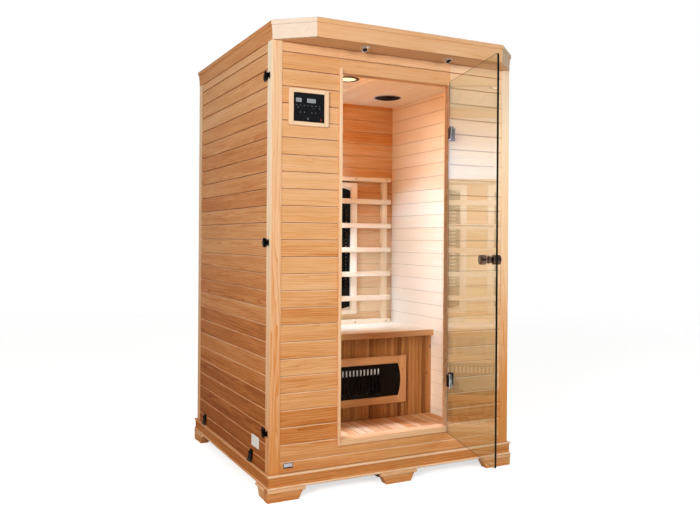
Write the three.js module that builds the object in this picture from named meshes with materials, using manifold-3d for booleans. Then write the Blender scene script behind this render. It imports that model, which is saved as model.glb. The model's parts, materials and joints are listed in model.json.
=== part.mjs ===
// Two-seat infrared sauna cabin: a boarded softwood box on bracket feet, with an overhanging canopy,
// a frameless glass door standing open, a bench, a slatted backrest and three infrared heaters.
// Millimetres, +Z up. The origin is on the ground under the middle of the wall box, and the front faces -Y.

import * as THREE from 'three';
import { mergeVertices } from 'three/addons/utils/BufferGeometryUtils.js';
import Module from 'manifold-3d';

// Clearance between pieces that touch, and the overlap of shapes that are joined into one piece.
const GAP = 0.3;
const JOIN = 0.5;

// Wall box, measured on the outer faces of the walls.
const WALL = { halfWidth: 585, halfDepth: 525, top: 1824, sideThick: 45, endThick: 50 };
const POST_WIDTH = 43;
const INFILL_RECESS = 3;

// Tongue and groove boards lie between a bottom rail and a top rail, with a V groove at every joint.
const BOARD = { pitch: 68, count: 24, bottomRail: 45, grooveHalf: 2.5, grooveDepth: 2.5 };

// Moulded plinth around the base, on bracket feet with slanted ends.
const PLINTH = { bottom: 50, top: 107, project: 12, behind: 6, bead: 3, beadHeight: 8 };
const FOOT = { alongFront: 160, alongSide: 134, centre: 172, thick: 44, slant: 26 };
const FOOT_STRIP = { height: 14, project: 3 };

// Floor: a sheet inside the plinth, grooved boards inside the walls, and a runner on the ground below.
const FLOOR = { top: 125, sheet: 18, runnerWidth: 90, runnerHalfLength: 430 };

// Doorway in the front wall, lined by two jamb boards and a sill that stand proud of the boards.
const DOORWAY = { left: -277, right: 246, bottom: 190, top: 1724 };
const JAMB = { width: 13, project: 6, top: 1743 };
const SILL_TOP = 214;

// Roof: a panel with the ceiling under it, edged by flared fascia boards; the front overhangs as a canopy.
const ROOF = { top: 1900, panelTop: 1860, ceiling: 1800 };
const FASCIA = { thick: 18, flare: 8, bead: 5, beadHeight: 14 };
const CANOPY = { depth: 120, cornerX: 138 };

// Round fittings let into the ceiling and the canopy.
const CEILING_LIGHT = { x: -50, y: -110, flange: 60, can: 50, depth: 25 };
const SPEAKER = { x: 350, y: 200, flange: 65, can: 54, depth: 32 };
const SOFFIT_LIGHT = { x: 205, y: -580, flange: 23, can: 18, depth: 26 };
const FLANGE = { thick: 4, dish: 3 };
const POWER_BOX = { width: 300, depth: 200, height: 28, y: 250 };

// Bench across the back, closed in front by vertical boards.
const BENCH = { top: 565, thick: 28, front: 28, panelFront: 50, panelThick: 18, panelPitch: 42 };
const BATTEN = { height: 36, width: 34, sideStart: 100 };

// Infrared heater: a black cover with bowed short ends and a pan behind it, in a wooden frame.
const HEATER = { length: 650, width: 165, bow: 15, cover: 13, panLength: 600, panWidth: 130, panDepth: 28 };
const HEATER_SLOT = { count: 22, pitch: 20, width: 8, height: 110, depth: 8 };
const HEATER_FRAME = { length: 752, width: 240, thick: 18 };
const HEATER_PLACE = { backX: 180, backZ: 988, benchZ: 322 };
const PAN_CLEARANCE = 5;

// Slatted backrest on the rear wall.
const BACKREST = { halfWidth: 506, slatFront: 425, frameFront: 447, railHeight: 22, topRail: 1366 };
const SLAT = { first: 708, height: 28, pitch: 136, count: 5 };
const STILE = { inner: 461, outer: 493 };

// Control panel in the left front panel.
const CONTROL = { x: -428, z: 1567, frameWidth: 174, frameHeight: 147, width: 135, height: 115 };
const CONTROL_DEPTH = { frame: 10, plateProject: 7, box: 22, boxWidth: 110, boxHeight: 90 };
const KEY = { hole: 1.5, project: 2, bed: 4.5, backGap: 1.5 };
const KEYS = [
  { name: 'key_power', x: -5, z: -45, radius: 6 },
  { name: 'key_light', x: -48, z: -2, radius: 4.5 },
  { name: 'key_minus', x: 18, z: -2, radius: 4.5 },
  { name: 'key_plus', x: 45, z: -2, radius: 4.5 },
];

// Glass door, turned open about the hinge axis. Door sizes are measured from that axis.
const DOOR = { axisX: 244, axisY: -538, open: 75, start: 3, end: 538, bottom: 190, top: 1736, glass: 8 };
const HINGE_Z = { upper: 1506, lower: 422 };
const HINGE = { halfHeight: 30, barrel: 6, pin: 2.5, middle: 10, plate: 5, reach: 46 };
const HINGE_BLOCK = { left: 15.6, right: 40, front: 2, armFront: 0.5, armBack: 6 };
const NOTCH = { reach: 24, halfHeight: 32 };
const CLAMP_START = 7;
const KNOB = { reach: 468, z: 965, radius: 19, length: 38, neck: 5.7, chamfer: 3 };

// Clasps that draw the panels together: the lever swings out about its rear or upper end.
const LEVER = { axisHeight: 5, round: 4.6, length: 31, shoulder: 22, top: 8.5, lip: 12, width: 36 };
const CLASP_SIDE_Z = [1688, 1024, 265];
const CLASP_SIDE_HINGE_Y = -456;
const CLASP_BASE_Y = [-312, 375];
const CLASP_BASE_HINGE_Z = 143;

// Facets of round shapes.
const FACETS = { fitting: 24, hinge: 16, knob: 24, key: 16, lever: 6, bow: 8 };

const wasm = await Module();
wasm.setup();

const X = new THREE.Vector3(1, 0, 0);
const Y = new THREE.Vector3(0, 1, 0);
const Z = new THREE.Vector3(0, 0, 1);
const minus = (v) => v.clone().negate();

// Finishes, one material per piece.
const FINISH = {
  board: { color: '#d7a063', roughness: 0.6, metalness: 0 },
  trim: { color: '#e8c394', roughness: 0.55, metalness: 0 },
  bench: { color: '#ecc89c', roughness: 0.6, metalness: 0 },
  glass: { color: '#cfe3da', roughness: 0.05, metalness: 0 },
  steel: { color: '#141312', roughness: 0.5, metalness: 0.4 },
  chrome: { color: '#b9bbbd', roughness: 0.2, metalness: 1 },
  plastic: { color: '#101114', roughness: 0.45, metalness: 0 },
  key: { color: '#3a3c42', roughness: 0.5, metalness: 0 },
  lamp: { color: '#f6e7b8', roughness: 0.3, metalness: 0 },
};

const cabin = new THREE.Group();

function add(name, geometry, finish, parent = cabin) {
  const mesh = new THREE.Mesh(geometry, new THREE.MeshStandardMaterial(FINISH[finish]));
  mesh.name = name;
  parent.add(mesh);
  return mesh;
}

// Solids for joining and cutting.

function toSolid(geometry) {
  const bare = geometry.clone();
  bare.deleteAttribute('normal');
  bare.deleteAttribute('uv');
  const welded = mergeVertices(bare, 1e-4);
  const vertProperties = new Float32Array(welded.getAttribute('position').array);
  const triVerts = new Uint32Array(welded.index.array);
  return new wasm.Manifold(new wasm.Mesh({ numProp: 3, vertProperties, triVerts }));
}

function toGeometry(solid) {
  const mesh = solid.getMesh();
  const geometry = new THREE.BufferGeometry();
  geometry.setAttribute('position', new THREE.BufferAttribute(mesh.vertProperties, 3));
  geometry.setIndex(new THREE.BufferAttribute(mesh.triVerts, 1));
  return geometry;
}

function join(...geometries) {
  return toGeometry(geometries.map(toSolid).reduce((whole, piece) => whole.add(piece)));
}

function cut(geometry, ...tools) {
  return toGeometry(tools.map(toSolid).reduce((whole, tool) => whole.subtract(tool), toSolid(geometry)));
}

// Basic shapes.

function block(x0, x1, y0, y1, z0, z1) {
  const geometry = new THREE.BoxGeometry(x1 - x0, y1 - y0, z1 - z0);
  return geometry.translate((x0 + x1) / 2, (y0 + y1) / 2, (z0 + z1) / 2);
}

function prism(points, length) {
  const shape = new THREE.Shape(points.map(([x, y]) => new THREE.Vector2(x, y)));
  return new THREE.ExtrudeGeometry(shape, { depth: length, bevelEnabled: false });
}

function upright(radius, x, y, z0, z1, facets) {
  const geometry = new THREE.CylinderGeometry(radius, radius, z1 - z0, facets);
  return geometry.rotateX(Math.PI / 2).translate(x, y, (z0 + z1) / 2);
}

// Turns local x and y to the two given directions, and moves the local origin.
function turned(geometry, xAxis, yAxis, origin) {
  const basis = new THREE.Matrix4().makeBasis(xAxis, yAxis, xAxis.clone().cross(yAxis));
  return geometry.applyMatrix4(basis.setPosition(...origin));
}

function turnMesh(mesh, xAxis, yAxis, origin) {
  const basis = new THREE.Matrix4().makeBasis(xAxis, yAxis, xAxis.clone().cross(yAxis));
  mesh.quaternion.setFromRotationMatrix(basis);
  mesh.position.set(...origin);
}

// Boarded panels. A panel's section has its outer face at 0 and its inner face at the wall's thickness.

const wallBottom = PLINTH.top + GAP;
const firstGroove = PLINTH.top + BOARD.bottomRail;
const grooveHeights = Array.from({ length: BOARD.count + 1 }, (_, i) => firstGroove + i * BOARD.pitch);

function notch(face, depth, at) {
  return [[face, at - BOARD.grooveHalf], [face + depth, at], [face, at + BOARD.grooveHalf]];
}

function boardedSection(outer, inner, bottom, top) {
  const within = grooveHeights.filter((z) => z > bottom + BOARD.grooveHalf && z < top - BOARD.grooveHalf);
  const innerOnes = within.filter((z) => z > FLOOR.top && z < ROOF.ceiling);
  const up = within.flatMap((z) => notch(outer, BOARD.grooveDepth, z));
  const down = innerOnes.flatMap((z) => notch(inner, -BOARD.grooveDepth, z)).reverse();
  return [[outer, bottom], ...up, [outer, top], [inner, top], ...down, [inner, bottom]];
}

function boardedPanel(inward, start, length, outer, inner, bottom = wallBottom, top = WALL.top) {
  return turned(prism(boardedSection(outer, inner, bottom, top), length), inward, Z, start);
}

const innerX = WALL.halfWidth - WALL.sideThick;
const innerY = WALL.halfDepth - WALL.endThick;

function addSideWalls() {
  const length = 2 * (innerY - GAP);
  const left = boardedPanel(X, [-WALL.halfWidth, innerY - GAP, 0], length, 0, WALL.sideThick);
  const right = boardedPanel(minus(X), [WALL.halfWidth, -innerY + GAP, 0], length, 0, WALL.sideThick);
  add('wall_left', left, 'board');
  add('wall_right', right, 'board');
}

function addRearWall() {
  const start = [WALL.halfWidth, WALL.halfDepth, 0];
  const whole = boardedPanel(minus(Y), start, 2 * WALL.halfWidth, 0, WALL.endThick);
  const halfLong = HEATER.panLength / 2 + PAN_CLEARANCE;
  const halfWide = HEATER.panWidth / 2 + PAN_CLEARANCE;
  const back = innerY + HEATER.panDepth + PAN_CLEARANCE;
  const { backX, backZ } = HEATER_PLACE;
  const pockets = [-backX, backX].map((x) =>
    block(x - halfWide, x + halfWide, innerY - 1, back, backZ - halfLong, backZ + halfLong));
  add('wall_rear', cut(whole, ...pockets), 'board');
}

// The front wall is a corner post and boards on each side of the doorway, a header and an apron.

const jambLeft = DOORWAY.left - JAMB.width;
const jambRight = DOORWAY.right + JAMB.width;
const infillFront = -WALL.halfDepth + INFILL_RECESS;

function frontInfill(x0, x1, bottom = wallBottom, top = WALL.top) {
  return boardedPanel(Y, [x0, -WALL.halfDepth, 0], x1 - x0, INFILL_RECESS, WALL.endThick, bottom, top);
}

function post(side) {
  const [x0, x1] = [side * WALL.halfWidth, side * (WALL.halfWidth - POST_WIDTH)].sort((a, b) => a - b);
  return block(x0, x1, -WALL.halfDepth, -innerY, wallBottom, WALL.top);
}

function addFrontWall() {
  const postEdge = WALL.halfWidth - POST_WIDTH + JOIN;
  const left = join(post(-1), frontInfill(-postEdge, jambLeft - GAP));
  const halfWidth = CONTROL_DEPTH.boxWidth / 2 + 1;
  const halfHeight = CONTROL_DEPTH.boxHeight / 2 + 1;
  const pocket = block(
    CONTROL.x - halfWidth, CONTROL.x + halfWidth,
    infillFront - 1, infillFront + CONTROL_DEPTH.box + 1,
    CONTROL.z - halfHeight, CONTROL.z + halfHeight);
  add('front_panel_left', cut(left, pocket), 'board');
  add('front_panel_right', join(post(1), frontInfill(jambRight + GAP, postEdge)), 'board');
  const upper = frontInfill(jambLeft, jambRight, JAMB.top + GAP, WALL.top);
  const lower = frontInfill(DOORWAY.left + GAP, DOORWAY.right - GAP, DOORWAY.top, JAMB.top + JOIN);
  add('front_header', join(upper, lower), 'board');
  add('front_apron', frontInfill(jambLeft, jambRight, wallBottom, DOORWAY.bottom - GAP), 'board');
}

function addDoorLining() {
  const front = -WALL.halfDepth - JAMB.project;
  add('jamb_left', block(jambLeft, DOORWAY.left, front, -innerY, DOORWAY.bottom, JAMB.top), 'trim');
  add('jamb_right', block(DOORWAY.right, jambRight, front, -innerY, DOORWAY.bottom, JAMB.top), 'trim');
  const [x0, x1] = [DOORWAY.left + GAP, DOORWAY.right - GAP];
  add('door_sill', block(x0, x1, front, -innerY, DOORWAY.bottom, SILL_TOP), 'trim');
}

// Base.

// Moves the ends of a straight moulding so that they meet the next one along the mitre.
function mitred(geometry, length, startSlope, endSlope) {
  const position = geometry.getAttribute('position');
  for (let i = 0; i < position.count; i += 1) {
    const outward = position.getX(i);
    const atEnd = position.getZ(i) > length / 2;
    const shift = atEnd ? outward * endSlope : -outward * startSlope;
    position.setZ(i, position.getZ(i) + shift);
  }
  return geometry;
}

// A moulding run from one plan corner to another, with its section's x pointing out of the wall.
function mouldingRun(section, from, to, startSlope, endSlope, trim) {
  const start = new THREE.Vector3(from[0], from[1], 0);
  const along = new THREE.Vector3(to[0], to[1], 0).sub(start);
  const length = along.length() - 2 * trim;
  along.normalize();
  const outward = Z.clone().cross(along);
  const origin = start.addScaledVector(along, trim);
  return turned(mitred(prism(section, length), length, startSlope, endSlope), outward, Z, origin.toArray());
}

const SQUARE_MITRE = 1;
const corner = {
  frontLeft: [-WALL.halfWidth, -WALL.halfDepth],
  frontRight: [WALL.halfWidth, -WALL.halfDepth],
  rearLeft: [-WALL.halfWidth, WALL.halfDepth],
  rearRight: [WALL.halfWidth, WALL.halfDepth],
};

function addPlinth() {
  const { bottom, top, project, behind, bead, beadHeight } = PLINTH;
  const section = [
    [-behind, bottom], [project + bead, bottom], [project + bead, bottom + beadHeight],
    [project, bottom + beadHeight + bead], [project, top - beadHeight - bead],
    [project + bead, top - beadHeight], [project + bead, top - bead], [project, top], [-behind, top],
  ];
  const sides = {
    plinth_front: [corner.frontRight, corner.frontLeft],
    plinth_left: [corner.frontLeft, corner.rearLeft],
    plinth_rear: [corner.rearLeft, corner.rearRight],
    plinth_right: [corner.rearRight, corner.frontRight],
  };
  for (const [name, [from, to]] of Object.entries(sides)) {
    add(name, mouldingRun(section, from, to, SQUARE_MITRE, SQUARE_MITRE, GAP), 'board');
  }
}

const footTop = PLINTH.bottom - GAP;
const footBody = footTop - FOOT_STRIP.height;

// One leg of a bracket foot: local x runs along the wall, local y into the base.
function footLeg(length) {
  const leg = prism([[0, 0], [length - FOOT.slant, 0], [length, footBody], [0, footBody]], FOOT.thick);
  return turned(leg, X, Z, [0, FOOT.thick, 0]);
}

function footStrip(x0, x1, y1) {
  const out = FOOT_STRIP.project;
  return block(x0, x1, -out, y1, footBody - JOIN, footTop);
}

function cornerFoot(alongX, alongY) {
  const side = prism([[0, 0], [alongY - FOOT.slant, 0], [alongY, footBody], [0, footBody]], FOOT.thick);
  const sideLeg = turned(side, Y, Z, [0, 0, 0]);
  const out = FOOT_STRIP.project;
  const sideStrip = block(-out, FOOT.thick, -out, alongY, footBody - JOIN, footTop);
  return join(footLeg(alongX), sideLeg, footStrip(-out, alongX, FOOT.thick), sideStrip);
}

function centreFoot() {
  const half = FOOT.centre / 2;
  const outline = [[FOOT.slant - half, 0], [half - FOOT.slant, 0], [half, footBody], [-half, footBody]];
  const body = turned(prism(outline, FOOT.thick), X, Z, [0, FOOT.thick, 0]);
  return join(body, footStrip(-half, half, FOOT.thick));
}

function addFeet() {
  const x = WALL.halfWidth + PLINTH.project;
  const y = WALL.halfDepth + PLINTH.project;
  const places = [
    ['foot_front_left', -x, -y, 0],
    ['foot_front_right', x, -y, 1],
    ['foot_rear_right', x, y, 2],
    ['foot_rear_left', -x, y, 3],
  ];
  for (const [name, px, py, quarter] of places) {
    const lengths = [FOOT.alongFront, FOOT.alongSide];
    const [alongX, alongY] = quarter % 2 ? lengths.reverse() : lengths;
    const foot = add(name, cornerFoot(alongX, alongY), 'board');
    foot.rotation.z = (quarter * Math.PI) / 2;
    foot.position.set(px, py, 0);
  }
  add('foot_front_centre', centreFoot(), 'board').position.set(0, -y, 0);
}

function addFloor() {
  const sheetX = WALL.halfWidth - PLINTH.behind - GAP;
  const sheetY = WALL.halfDepth - PLINTH.behind - GAP;
  const sheetTop = PLINTH.top - GAP;
  const sheetBottom = sheetTop - FLOOR.sheet;
  const sheet = block(-sheetX, sheetX, -sheetY, sheetY, sheetBottom, sheetTop);
  const half = innerX - GAP;
  const joints = Math.floor(half / BOARD.pitch);
  const grooves = Array.from({ length: 2 * joints + 1 }, (_, i) => (joints - i) * BOARD.pitch);
  const topLine = grooves.flatMap((x) => notch(FLOOR.top, -BOARD.grooveDepth, -x).map(([z, at]) => [-at, z]));
  const boards = prism([[-half, sheetTop - JOIN], [half, sheetTop - JOIN], [half, FLOOR.top], ...topLine,
    [-half, FLOOR.top]], 2 * (innerY - GAP));
  const deck = turned(boards, X, Z, [0, innerY - GAP, 0]);
  const [w, l] = [FLOOR.runnerWidth / 2, FLOOR.runnerHalfLength];
  const runner = block(-w, w, -l, l, 0, sheetBottom + JOIN);
  add('floor_deck', join(sheet, deck, runner), 'board');
}

// Roof.

const roofBottom = WALL.top + GAP;
const canopyY = -WALL.halfDepth - CANOPY.depth;
const canopyX = WALL.halfWidth - CANOPY.cornerX;
const canopyCorner = { left: [-canopyX, canopyY], right: [canopyX, canopyY] };
const cornerAngle = Math.atan2(CANOPY.cornerX, CANOPY.depth);
const SIDE_SLOPE = Math.tan(cornerAngle / 2);
const FRONT_SLOPE = Math.tan((Math.PI / 2 - cornerAngle) / 2);

const fasciaSection = [
  [-FASCIA.thick, roofBottom], [0, roofBottom], [FASCIA.flare, ROOF.top - FASCIA.beadHeight],
  [FASCIA.flare + FASCIA.bead, ROOF.top - FASCIA.beadHeight + FASCIA.bead],
  [FASCIA.flare + FASCIA.bead, ROOF.top], [-FASCIA.thick, ROOF.top],
];

function addFascias() {
  const run = (from, to, start, end, trim) => mouldingRun(fasciaSection, from, to, start, end, trim);
  const { frontLeft, frontRight, rearLeft, rearRight } = corner;
  add('fascia_left', run(frontLeft, rearLeft, SIDE_SLOPE, SQUARE_MITRE, GAP), 'board');
  add('fascia_rear', run(rearLeft, rearRight, SQUARE_MITRE, SQUARE_MITRE, GAP), 'board');
  add('fascia_right', run(rearRight, frontRight, SQUARE_MITRE, SIDE_SLOPE, GAP), 'board');
  const overlap = -JOIN / 2;
  const canopy = join(
    run(frontRight, canopyCorner.right, SIDE_SLOPE, FRONT_SLOPE, overlap),
    run(canopyCorner.right, canopyCorner.left, FRONT_SLOPE, FRONT_SLOPE, overlap),
    run(canopyCorner.left, frontLeft, FRONT_SLOPE, SIDE_SLOPE, overlap));
  add('canopy_fascia', canopy, 'trim');
}

function fittingPlaces() {
  return [
    { ...SOFFIT_LIGHT, name: 'soffit_light_left', x: -SOFFIT_LIGHT.x, under: roofBottom, finish: 'lamp' },
    { ...SOFFIT_LIGHT, name: 'soffit_light_right', under: roofBottom, finish: 'lamp' },
    { ...CEILING_LIGHT, name: 'ceiling_light', under: ROOF.ceiling, finish: 'lamp' },
    { ...SPEAKER, name: 'speaker_left', x: -SPEAKER.x, under: ROOF.ceiling, finish: 'plastic' },
    { ...SPEAKER, name: 'speaker_right', under: ROOF.ceiling, finish: 'plastic' },
  ];
}

// A round fitting hangs by its flange under the panel, with its can let into a hole.
function addFittings() {
  const { thick, dish } = FLANGE;
  for (const { name, x, y, under, finish, flange, can, depth } of fittingPlaces()) {
    const profile = [
      [0, dish], [can - dish, dish], [can, 0], [flange - 1, 0], [flange, 1], [flange, thick],
      [can, thick], [can, thick + depth], [0, thick + depth],
    ];
    const points = profile.map(([r, h]) => new THREE.Vector2(r, h));
    const body = new THREE.LatheGeometry(points, FACETS.fitting).rotateX(Math.PI / 2);
    add(name, body, finish).position.set(x, y, under - thick - GAP);
  }
}

function addRoof() {
  const inset = FASCIA.thick + GAP;
  const [x, rear, front] = [WALL.halfWidth - inset, WALL.halfDepth - inset, canopyY + inset];
  const shoulder = -WALL.halfDepth + inset * SIDE_SLOPE;
  const nose = canopyX - inset * FRONT_SLOPE;
  const outline = [[-x, rear], [-x, shoulder], [-nose, front], [nose, front], [x, shoulder], [x, rear]];
  const panel = prism(outline, ROOF.panelTop - roofBottom).translate(0, 0, roofBottom);
  const [cx, cy] = [innerX - GAP, innerY - GAP];
  const ceiling = block(-cx, cx, -cy, cy, ROOF.ceiling, roofBottom + JOIN);
  const holes = fittingPlaces().map((f) =>
    upright(f.can + 1, f.x, f.y, f.under - 1, f.under + f.depth + 2, FACETS.fitting));
  add('roof_panel', cut(join(panel, ceiling), ...holes), 'board');
  const { width, depth, height, y } = POWER_BOX;
  const low = ROOF.panelTop + GAP;
  add('power_box', block(-width / 2, width / 2, y - depth / 2, y + depth / 2, low, low + height), 'plastic');
}

// Heaters. Local x is the long way, local y the short way, local z out of the front.

function heaterOutline(grow) {
  const halfLong = HEATER.length / 2 + grow;
  const halfWide = HEATER.width / 2 + grow;
  const radius = (halfWide ** 2 + HEATER.bow ** 2) / (2 * HEATER.bow);
  const centre = halfLong + HEATER.bow - radius;
  const angle = Math.asin(halfWide / radius);
  const path = new THREE.Path();
  path.moveTo(-halfLong, -halfWide);
  path.lineTo(halfLong, -halfWide);
  path.absarc(centre, 0, radius, -angle, angle, false);
  path.lineTo(-halfLong, halfWide);
  path.absarc(-centre, 0, radius, Math.PI - angle, Math.PI + angle, false);
  return path.getPoints(FACETS.bow);
}

function heaterBody() {
  const settings = { depth: HEATER.cover, bevelEnabled: false };
  const cover = new THREE.ExtrudeGeometry(new THREE.Shape(heaterOutline(0)), settings);
  const [long, wide] = [HEATER.panLength / 2, HEATER.panWidth / 2];
  const pan = block(-long, long, -wide, wide, -HEATER.panDepth, JOIN);
  const { count, pitch, width, height, depth } = HEATER_SLOT;
  const slots = Array.from({ length: count }, (_, i) => {
    const x = (i - (count - 1) / 2) * pitch;
    const back = HEATER.cover - depth;
    return block(x - width / 2, x + width / 2, -height / 2, height / 2, back, HEATER.cover + 1);
  });
  return cut(join(cover, pan), ...slots);
}

function heaterFrame(thick) {
  const [long, wide] = [HEATER_FRAME.length / 2, HEATER_FRAME.width / 2];
  const outline = [[-long, -wide], [long, -wide], [long, wide], [-long, wide]];
  const shape = new THREE.Shape(outline.map(([x, y]) => new THREE.Vector2(x, y)));
  shape.holes.push(new THREE.Path(heaterOutline(JOIN)));
  return new THREE.ExtrudeGeometry(shape, { depth: thick, bevelEnabled: false });
}

function addHeaters() {
  const { backX, backZ, benchZ } = HEATER_PLACE;
  const backY = innerY - GAP;
  turnMesh(add('heater_back_left', heaterBody(), 'steel'), Z, minus(X), [-backX, backY, backZ]);
  turnMesh(add('heater_back_right', heaterBody(), 'steel'), Z, minus(X), [backX, backY, backZ]);
  const benchPlace = [0, BENCH.panelFront - GAP, benchZ];
  turnMesh(add('heater_bench', heaterBody(), 'steel'), X, Z, benchPlace);
  turnMesh(add('heater_bench_frame', heaterFrame(HEATER_FRAME.thick), 'trim'), X, Z, benchPlace);
}

// Seat.

function addBench() {
  const x = innerX - GAP;
  const back = innerY - GAP;
  const under = BENCH.top - BENCH.thick;
  const low = under - BATTEN.height;
  const seat = block(-x, x, BENCH.front, back, under, BENCH.top);
  const rear = block(-x, x, back - BATTEN.width, back, low, under + JOIN);
  const sides = [-1, 1].map((side) => {
    const [x0, x1] = [side * x, side * (x - BATTEN.width)].sort((a, b) => a - b);
    return block(x0, x1, BATTEN.sideStart, back - BATTEN.width + JOIN, low, under + JOIN);
  });
  add('bench_top', join(seat, rear, ...sides), 'bench');

  const joints = Math.floor(x / BENCH.panelPitch);
  const grooves = Array.from({ length: 2 * joints + 1 }, (_, i) => (joints - i) * BENCH.panelPitch);
  const [front, rearFace] = [BENCH.panelFront, BENCH.panelFront + BENCH.panelThick];
  const frontLine = grooves.flatMap((at) => notch(front, BOARD.grooveDepth, -at).map(([y, g]) => [g, y]));
  const outline = [[-x, front], ...frontLine, [x, front], [x, rearFace], [-x, rearFace]];
  const boards = prism(outline, under - FLOOR.top - 2 * GAP).translate(0, 0, FLOOR.top + GAP);
  const halfLong = HEATER.panLength / 2 + PAN_CLEARANCE;
  const halfWide = HEATER.panWidth / 2 + PAN_CLEARANCE;
  const { benchZ } = HEATER_PLACE;
  const hole = block(-halfLong, halfLong, front - 1, rearFace + 1, benchZ - halfWide, benchZ + halfWide);
  add('bench_front', cut(boards, hole), 'board');
}

function addBackrest() {
  const { halfWidth, slatFront, frameFront, railHeight, topRail } = BACKREST;
  const back = innerY - GAP;
  const bottomRail = BENCH.top + GAP;
  const rails = [bottomRail, topRail].map((z) =>
    block(-halfWidth, halfWidth, slatFront, back, z, z + railHeight));
  const slats = Array.from({ length: SLAT.count }, (_, i) => {
    const z = SLAT.first + i * SLAT.pitch - SLAT.height / 2;
    return block(-halfWidth, halfWidth, slatFront, frameFront + JOIN, z, z + SLAT.height);
  });
  const stiles = [-1, 1].map((side) => {
    const [x0, x1] = [side * STILE.inner, side * STILE.outer].sort((a, b) => a - b);
    return block(x0, x1, frameFront, back, bottomRail + railHeight - JOIN, topRail + JOIN);
  });
  const { backX, backZ } = HEATER_PLACE;
  const frames = [-backX, backX].map((x) =>
    turned(heaterFrame(back - frameFront), Z, minus(X), [x, back, backZ]));
  add('backrest', join(...rails, ...slats, ...stiles, ...frames), 'bench');
}

// Control panel.

function addControl() {
  const { x, z, frameWidth, frameHeight, width, height } = CONTROL;
  const { frame, plateProject, box, boxWidth, boxHeight } = CONTROL_DEPTH;
  const rim = (w, h, y0, y1) => block(x - w / 2, x + w / 2, y0, y1, z - h / 2, z + h / 2);
  const face = infillFront - GAP;
  const opening = rim(width + 2 * GAP, height + 2 * GAP, face - frame - 1, face + 1);
  add('control_frame', cut(rim(frameWidth, frameHeight, face - frame, face), opening), 'trim');
  const plateFront = face - plateProject;
  const plate = rim(width, height, plateFront, face);
  const rear = rim(boxWidth, boxHeight, face - JOIN, infillFront + box);
  const beds = KEYS.map((key) => keyCylinder(key.radius + GAP, key, plateFront - 1, plateFront + KEY.bed));
  add('control_panel', cut(join(plate, rear), ...beds), 'plastic');
  for (const key of KEYS) {
    const body = keyCylinder(key.radius, key, plateFront - KEY.project, plateFront + KEY.bed - KEY.backGap);
    add(key.name, body, 'key');
  }
}

function keyCylinder(radius, key, y0, y1) {
  const geometry = new THREE.CylinderGeometry(radius, radius, y1 - y0, FACETS.key);
  return geometry.translate(CONTROL.x + key.x, (y0 + y1) / 2, CONTROL.z + key.z);
}

// Door. Local x is 0 on the hinge axis and the closed glass runs towards -x; local y is 0 in the glass.

function hingeClamp() {
  const { halfHeight, barrel, pin, middle, plate, reach } = HINGE;
  const inside = DOOR.glass / 2 + GAP;
  const plates = [-1, 1].map((side) => {
    const [y0, y1] = [side * inside, side * (inside + plate)].sort((a, b) => a - b);
    return block(-reach, -CLAMP_START, y0, y1, -halfHeight, halfHeight);
  });
  const web = block(-NOTCH.reach + 1, -CLAMP_START, -inside - JOIN, inside + JOIN, -halfHeight, halfHeight);
  const knuckles = [-1, 1].flatMap((side) => {
    const [z0, z1] = [side * (middle + JOIN), side * halfHeight].sort((a, b) => a - b);
    const neck = block(-CLAMP_START - JOIN, 0, -inside, inside, z0, z1);
    return [upright(barrel, 0, 0, z0, z1, FACETS.hinge), neck];
  });
  return join(...plates, web, ...knuckles, upright(pin, 0, 0, -halfHeight, halfHeight, FACETS.hinge));
}

function hingeLeaf() {
  const { halfHeight, barrel, pin, middle } = HINGE;
  const { left, right, front, armFront, armBack } = HINGE_BLOCK;
  const back = infillFront - GAP - DOOR.axisY;
  const base = block(left, right, front, back, -halfHeight, halfHeight);
  const arm = block(0, left + JOIN, armFront, armBack, -middle, middle);
  const knuckle = upright(barrel, 0, 0, -middle, middle, FACETS.hinge);
  const bore = upright(pin + GAP, 0, 0, -middle - 1, middle + 1, FACETS.hinge);
  return cut(join(base, arm, knuckle), bore);
}

function glassPane() {
  const half = DOOR.glass / 2;
  const pane = block(-DOOR.end, -DOOR.start, -half, half, DOOR.bottom, DOOR.top);
  const notches = Object.values(HINGE_Z).map((z) =>
    block(-NOTCH.reach, 0, -half - 1, half + 1, z - NOTCH.halfHeight, z + NOTCH.halfHeight));
  const hole = new THREE.CylinderGeometry(KNOB.neck + GAP, KNOB.neck + GAP, DOOR.glass + 2, FACETS.knob);
  return cut(pane, ...notches, hole.translate(-KNOB.reach, 0, KNOB.z));
}

function knobPair() {
  const { radius, length, neck, chamfer } = KNOB;
  const near = DOOR.glass / 2 + GAP;
  const far = near + length;
  const half = [
    [neck, near], [radius - chamfer, near], [radius, near + chamfer], [radius, far - chamfer],
    [radius - chamfer, far], [0, far],
  ];
  const mirrored = half.map(([r, h]) => [r, -h]).reverse();
  const profile = [...mirrored, ...half].map(([r, h]) => new THREE.Vector2(r, h));
  return new THREE.LatheGeometry(profile, FACETS.knob);
}

function addDoor() {
  const door = new THREE.Group();
  door.position.set(DOOR.axisX, DOOR.axisY, 0);
  door.rotation.z = THREE.MathUtils.degToRad(DOOR.open);
  cabin.add(door);
  add('door_glass', glassPane(), 'glass', door);
  add('door_knob', knobPair(), 'chrome', door).position.set(-KNOB.reach, 0, KNOB.z);
  for (const [name, z] of Object.entries(HINGE_Z)) {
    add(`hinge_${name}_clamp`, hingeClamp(), 'chrome', door).position.z = z;
    add(`hinge_${name}_leaf`, hingeLeaf(), 'chrome').position.set(DOOR.axisX, DOOR.axisY, z);
  }
}

// Clasps. Local x runs from the hinge to the free end, local y out of the wall.

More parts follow.
